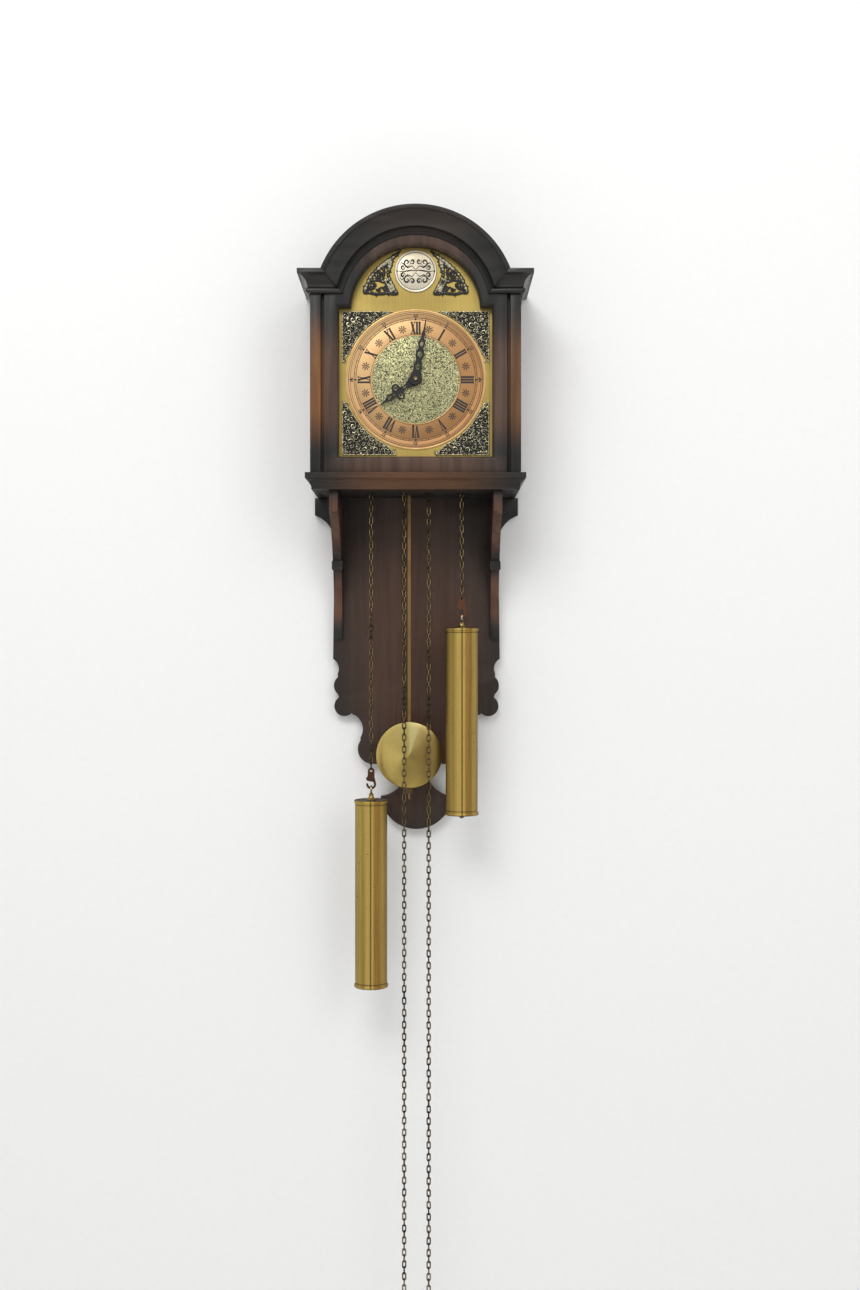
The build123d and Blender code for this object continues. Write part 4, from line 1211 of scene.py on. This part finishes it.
def flat_shape(name, outlines, front, back, turn):
    """A flat plate from closed outlines in local (along, across) millimetres; inner ones are holes."""
    curve = bpy.data.curves.new(name, "CURVE")
    curve.dimensions = "2D"
    curve.fill_mode = "BOTH"
    thick = abs(back - front)
    curve.bevel_depth = 0.12 * MM
    curve.bevel_resolution = 1
    curve.extrude = thick / 2 - 0.12 * MM
    curve.offset = -0.10 * MM
    for outline in outlines:
        spline = curve.splines.new("NURBS" if len(outline) > 5 else "POLY")
        spline.points.add(len(outline) - 1)
        for point, (u, v) in zip(spline.points, outline):
            point.co = (u * MM, v * MM, 0, 1)
        spline.use_cyclic_u = True
        if spline.type == "NURBS":
            spline.order_u = 3
            spline.resolution_u = 5
    made = link_object(name, curve)
    made.matrix_world = (
        Matrix.Translation((DIAL.x, (front + back) / 2, DIAL.z))
        @ Matrix.Rotation(radians(turn), 4, "Y")
        @ UPRIGHT
    )
    return fresh_mesh(made, name + "_plate")


def round_hole(u, v, r, steps=16):
    return [(u + r * cos(tau * k / steps), v + r * sin(tau * k / steps)) for k in range(steps)]


def mirrored(half):
    """A closed outline from its upper half, from tip to tail."""
    return half + [(u, -v) for u, v in reversed(half) if abs(v) > 1e-6]


def hands():
    low, high = box("minute_hand")
    # a serpentine stem: its sides wave together, between loops on the middle line
    minute_half = [
        (66.5, 0.0), (58, 0.7), (50, 0.85), (47, 2.4), (45, 1.2), (42, 1.6), (39, 3.4), (35.5, 3.6),
        (32.5, 2.4), (30, 3.7), (26, 4.4), (22, 3.9), (19.5, 2.7), (17, 3.9), (13, 4.5), (9.0, 4.0),
        (5.5, 4.9), (1.5, 6.3), (-3.5, 6.0), (-6.2, 2.6),
    ]
    loops = [
        [(41, 0), (38, 1.7), (35, 1.6), (33.5, 0), (35, -1.6), (38, -1.7)],
        [(29.5, 0.3), (27, 2.3), (23.5, 2.1), (21.5, -0.2), (23.5, -2.1), (27, -2.3)],
        [(16.5, 0), (14, 2.2), (11, 2.0), (8.8, 0), (11, -2.0), (14, -2.2)],
    ]
    turn = -degrees(atan2(*reversed(hand_way("minute_hand"))))
    outlines = [mirrored(minute_half), *loops, round_hole(0, 0, 2.0)]
    plate = flat_shape("minute", outlines, low.y, high.y, turn)
    settle(plate, "minute", "hand_black", HAND_BLACK, "minute_hand", smooth_angle=40)

    low, high = box("hour_hand")
    hour_half = [
        (46.4, 0.0), (42, 0.9), (38.5, 1.3), (35.5, 2.8), (33, 3.7), (30.5, 3.4), (28.0, 2.6), (26.8, 3.6),
        (26.7, 6.2), (25.2, 8.2), (22.4, 9.1), (19.6, 8.2), (18.1, 6.0), (18.2, 3.4), (16.6, 2.1),
        (13, 2.0), (9.5, 3.2), (6.0, 4.8), (1.5, 6.4), (-3.8, 6.2), (-6.4, 2.9),
    ]
    holes = [
        [(36.2, 0), (34.0, 1.6), (31.8, 1.8), (30.4, 0), (31.8, -1.8), (34.0, -1.6)],
        [(29.6, 0), (28.2, 1.1), (26.4, 1.3), (25.2, 0), (26.4, -1.3), (28.2, -1.1)],
        [(16.4, 0), (14.8, 0.9), (12.6, 0.9), (11.0, 0), (12.6, -0.9), (14.8, -0.9)],
    ]
    holes += [round_hole(22.4, v, 2.55, 14) for v in (-4.9, 4.9)]
    turn = -degrees(atan2(*reversed(hand_way("hour_hand"))))
    plate = flat_shape("hour", [mirrored(hour_half), *holes, round_hole(0, 0, 3.3)], low.y, high.y, turn)
    settle(plate, "hour", "hand_black", HAND_BLACK, "hour_hand", smooth_angle=40)


def hand_nut():
    """A small domed nut with a drilled middle."""
    low, high = box("hand_nut")
    place = DIAL_AXIS
    front, back = -low.y, -high.y
    r = 2.1 * MM
    section = [(0, front - 0.75 * MM), (0.6 * MM, front - 0.7 * MM), (0.75 * MM, front - 0.1 * MM)]
    section += [(1.2 * MM, front), (r - 0.25 * MM, front - 0.35 * MM), (r, front - 0.7 * MM), (r, back)]
    made = Build()
    made.lathe([*section, (0, back)], place, steps=40)
    settle(made.piece("hand_nut_dome"), "centre_wheel", "movement_brass", NUT_BRASS, "hand_nut")


def hand_way(node):
    """The direction (x, z) in which a hand points: to its vertex furthest from the dial's centre."""
    tip = max(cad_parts[node].data.vertices, key=lambda v: (v.co - DIAL).xz.length)
    way = (tip.co - DIAL).xz.normalized()
    return way.x, way.y


hands()
hand_nut()

# ---------------------------------------------------------------- pendulum bob


def pendulum_bob():
    low, high = box("pendulum_bob")
    centre = Vector((middle("pendulum_bob").x, 0, middle("pendulum_bob").z))
    r = (high.x - low.x) / 2
    front, back = -low.y, -high.y
    half = (front - back) / 2
    section, steps = [], 18
    for k in range(steps + 1):
        t = k / steps
        drop = 1.25 * (half - 1.3 * MM) * (1 - sqrt(1 - 0.80 * t * t))
        section.append(((r - 1.1 * MM) * t, front - drop))
    edge = section[-1][1]
    section += [(r - 0.3 * MM, edge - 0.2 * MM), (r, edge - 0.9 * MM), (r, edge - 1.6 * MM)]
    section += [(r - 0.6 * MM, edge - 2.2 * MM), (r - 2.0 * MM, back + 1.2 * MM), (r - 6 * MM, back)]
    section.append((0, back))
    made = Build()
    made.lathe(section, centre, steps=128)
    settle(made.piece("bob_disc"), "pendulum", "bob_brass", BOB_BRASS, "pendulum_bob")


pendulum_bob()

# ---------------------------------------------------------------- weights and hooks

def rim(low, high, r):
    """The rounded outer edge of a cap as (radius, height) pairs."""
    ease = 0.9 * MM
    points = []
    for k in range(5):
        a = -pi / 2 + pi / 2 * k / 4
        points.append((r - ease + ease * cos(a), low + ease + ease * sin(a)))
    for k in range(5):
        a = pi / 2 * k / 4
        points.append((r - ease + ease * cos(a), high - ease + ease * sin(a)))
    return points


def weight(side):
    body = f"{side}_weight"
    shell_low, shell_high = box(f"{side}_weight_shell")
    caps_low, caps_high = box(f"{side}_weight_caps")
    centre = Vector(((shell_low.x + shell_high.x) / 2, (shell_low.y + shell_high.y) / 2, 0))
    r, rim_r = (shell_high.x - shell_low.x) / 2, (caps_high.x - caps_low.x) / 2
    low, high = shell_low.z, shell_high.z
    lid = caps_high.z
    floor = low - (lid - high)
    wall, edge = 0.8 * MM, 0.25 * MM
    section = [(r - wall, low), (r - edge, low), (r, low + edge), (r, low + 4 * edge)]
    section += [(r, high - 4 * edge), (r, high - edge), (r - edge, high), (r - wall, high), (r - wall, low)]
    made = Build()
    made.lathe(section, centre, "Z", 96)
    shell = made.piece(f"{side}_shell")
    node = f"{side}_weight_shell"
    settle(shell, body, "weight_brass", weight_brass(f"{side}_shell_brass", node), node)

    caps = Build()
    band, dish = 3.2 * MM, 0.3 * MM
    upper = [(0, high), (r - 0.1 * MM, high), (r - 0.1 * MM, lid - band), *rim(lid - band, lid, rim_r)]
    upper += [(r - 1.5 * MM, lid - dish), (0, lid - dish)]
    lower = [(0, floor + dish), (r - 1.5 * MM, floor + dish), *rim(floor, floor + band, rim_r)]
    lower += [(r - 0.1 * MM, floor + band), (r - 0.1 * MM, low), (0, low)]
    for section in (lower, upper):
        caps.lathe(section, centre, "Z", 96)
    finish = weight_brass(f"{side}_cap_brass", node, (floor + 0.2 * MM, low, high, lid))
    settle(caps.piece(f"{side}_caps"), body, "weight_brass", finish, f"{side}_weight_caps", smooth_angle=30)
    foot = Build()
    nut_r, nut_low = 4.2 * MM, floor - 2.0 * MM
    corners = [(nut_r * cos(tau * k / 6), nut_r * sin(tau * k / 6)) for k in range(6)]
    verts = [Vector((x, y, z)) + centre for z in (nut_low, floor + 0.4 * MM) for x, y in corners]
    faces = [(k, (k + 1) % 6, 6 + (k + 1) % 6, 6 + k) for k in range(6)]
    faces += [tuple(range(6)), tuple(range(6, 12))]
    foot.add(verts, faces)
    tip = nut_low - 1.6 * MM
    stub = [(0, tip), (1.5 * MM, tip), (2.2 * MM, tip + 0.7 * MM), (2.2 * MM, nut_low + 0.2 * MM)]
    foot.lathe([*stub, (0, nut_low + 0.2 * MM)], centre, "Z", 24)
    settle(foot.piece(f"{side}_foot_nut"), body, "cap_brass", DARK_BRASS, smooth_angle=30)
    return centre, lid


def hook(side, centre, lid):
    """The eye screwed into the lid, its wire loop and the stamped snap hook above it."""
    body = f"{side}_weight"
    eye = Build()
    cone = [(0, -0.3), (5.0, -0.3), (5.0, 0.8), (4.2, 1.4), (2.9, 2.6), (2.4, 4.6), (2.6, 5.8), (1.6, 6.8)]
    cone.append((0, 7.0))
    eye.lathe([(r * MM, lid + h * MM) for r, h in cone], centre, "Z", 40)
    settle(eye.piece(f"{side}_eye_cone"), body, "cap_brass", CAP_BRASS)
    wire = Build()
    ring_z, ring_r = lid + 10.5 * MM, 4.0 * MM
    turns = [tau * k / 36 for k in range(36)]
    line = [centre + Vector((0, ring_r * cos(a), ring_z + ring_r * sin(a))) for a in turns]
    wire.tube(line, 1.05 * MM, 10, closed=True)
    settle(wire.piece(f"{side}_eye_wire"), body, "hook_copper", BRIGHT_WIRE)
    plate = bpy.data.curves.new(f"{side}_hook", "CURVE")
    plate.dimensions, plate.fill_mode = "2D", "BOTH"
    plate.bevel_depth, plate.bevel_resolution = 0.22 * MM, 2
    plate.extrude = 0.8 * MM - 0.22 * MM
    plate.offset = -0.2 * MM
    mouth, top = 16.3, 34.0
    ring = [(5.3 * cos(radians(a)), mouth + 5.3 * sin(radians(a))) for a in range(168, 391, 16)]
    right = [(4.3, mouth + 4.6), (3.5, mouth + 7.6), (3.6, mouth + 11.5)]
    crown = [(3.55 * cos(radians(a)), top - 3.5 + 3.5 * sin(radians(a))) for a in range(0, 181, 30)]
    left = [(-3.6, mouth + 11.5), (-3.9, mouth + 8.4), (-5.6, mouth + 6.2), (-4.6, mouth + 4.0)]
    gate = [(-1.2, mouth + 2.9)]
    inner = [(3.0 * cos(radians(a)), mouth + 3.0 * sin(radians(a))) for a in range(90, -181, -18)]
    lip = [(-3.6, mouth + 0.9)]
    outline = ring + right + crown + left + gate + inner + lip
    for points, kind in ((outline, "POLY"), (round_hole(0, top - 3.3, 1.4, 16), "POLY")):
        spline = plate.splines.new(kind)
        spline.points.add(len(points) - 1)
        for point, (u, v) in zip(spline.points, points):
            point.co = (u * MM, v * MM, 0, 1)
        spline.use_cyclic_u = True
    made = link_object(f"{side}_hook", plate)
    made.matrix_world = Matrix.Translation(centre + Vector((0, 0, lid))) @ UPRIGHT
    made = fresh_mesh(made, f"{side}_snap_hook")
    settle(made, body, "hook_copper", HOOK_COPPER, f"{side}_weight_hook", smooth_angle=40)


for side in ("left", "right"):
    hook(side, *weight(side))

# ---------------------------------------------------------------- stage and light


WALL_Y = 0.6 * MM  # the wall stands just behind the clock


def board_edge():
    """The edge of the backboard's back as (x, z) pairs, from its foot up the right-hand side."""
    bm = bmesh.new()
    bm.from_mesh(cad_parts["backboard"].data)
    bmesh.ops.remove_doubles(bm, verts=bm.verts, dist=1e-6)
    back = {f for f in bm.faces if f.normal.y > 0.99 and f.calc_center_median().y > -0.1 * MM}
    after = {}
    for face in back:
        for loop in face.loops:
            if not any(f in back for f in loop.edge.link_faces if f is not face):
                after[loop.vert.index] = loop.link_loop_next.vert.index
    places = [(v.co.x, v.co.z) for v in bm.verts]
    bm.free()
    order = [min(after, key=lambda k: places[k][1])]
    while after[order[-1]] != order[0]:
        order.append(after[order[-1]])
    edge = [places[k] for k in order]
    return edge if edge[1][0] > 0 else edge[:1] + edge[:0:-1]


def back_outline(inset):
    """Where the case meets the wall, drawn in by inset, as points of the wall."""
    base_low, base_high = box("base_moulding_right")
    side = box("side_panel_right")[1].x
    roof_low, roof_high = box("arch_roof")
    boards = box("top_boards")[1].z
    rise = roof_high.z - roof_low.z
    roof_r = (roof_high.x**2 + rise**2) / (2 * rise)
    half = []
    for x, z in board_edge():
        if z > base_low.z - 0.1 * MM:
            break
        half.append((x, z))
    half += [(base_high.x - 4 * MM, base_low.z), (side, base_high.z), (side, boards)]
    first = asin((boards - roof_high.z + roof_r) / roof_r)
    for k in range(17):
        a = first + (pi / 2 - first) * k / 16
        half.append((roof_r * cos(a), roof_high.z - roof_r + roof_r * sin(a)))
    half = [(x, z) for x, z in half if x > 0.5 * MM]
    edge = half + [(-x, z) for x, z in reversed(half)]
    points = []
    for k, (x, z) in enumerate(edge):
        after, before = edge[(k + 1) % len(edge)], edge[k - 1]
        along = Vector((after[0] - before[0], 0, after[1] - before[1])).normalized()
        points.append(Vector((x, WALL_Y, z)) + Vector((-along.z, 0, along.x)) * inset)
    return points


def stage_plane(name, corners, colour, rough, one_sided, opening=()):
    """A plain plaster surface; a one-sided one is clear from behind."""
    faces = tessellate_polygon([[Vector(c) for c in corners], opening]) if opening else [(0, 1, 2, 3)]
    made = mesh_piece(name, [*corners, *opening], faces, smooth=False)
    s = Shade(name + "_plaster")
    grain = s.noise(160, 4.0, 0.6)
    s.set(colour=s.mix(s.span(grain, 0.3, 0.7), colour, tuple(0.985 * c for c in colour)), rough=rough)
    s.set(normal=s.bump(grain, 0.12, 0.0008))
    if one_sided:
        clear = s.node("ShaderNodeBsdfTransparent").outputs[0]
        back = s.node("ShaderNodeNewGeometry").outputs["Backfacing"]
        out = s.tree.nodes["Material Output"]
        mixed = s.node("ShaderNodeMixShader", {0: back, 1: s.shader.outputs[0], 2: clear})
        s.tree.links.new(mixed.outputs[0], out.inputs["Surface"])
    made.data.materials.append(s.material)
    return made


FLOOR = cad_box[0][2] - 0.12
wall = stage_plane(
    "wall",
    [(-3, WALL_Y, FLOOR), (3, WALL_Y, FLOOR), (3, WALL_Y, 2.2), (-3, WALL_Y, 2.2)],
    (0.90, 0.90, 0.895),
    0.9,
    True,
    back_outline(1.0 * MM),
)
if wall.data.polygons[0].normal.y > 0:
    wall.data.flip_normals()
floor_corners = [(-3, -3, FLOOR), (3, -3, FLOOR), (3, 3, FLOOR), (-3, 3, FLOOR)]
stage_plane("floor", floor_corners, (0.84, 0.84, 0.83), 0.8, False)

world = bpy.data.worlds.new("studio")
bpy.context.scene.world = world
world.use_nodes = True
world.node_tree.nodes["Background"].inputs[0].default_value = (1.0, 1.0, 1.0, 1)
world.node_tree.nodes["Background"].inputs[1].default_value = 0.60
add_light("key", (-0.6, -1.9, 1.3), (0, 0, -0.30), (1.4, 1.0), 28)
add_light("fill", (1.2, -1.9, 0.5), (0, 0, -0.35), (0.9, 1.6), 8.5)
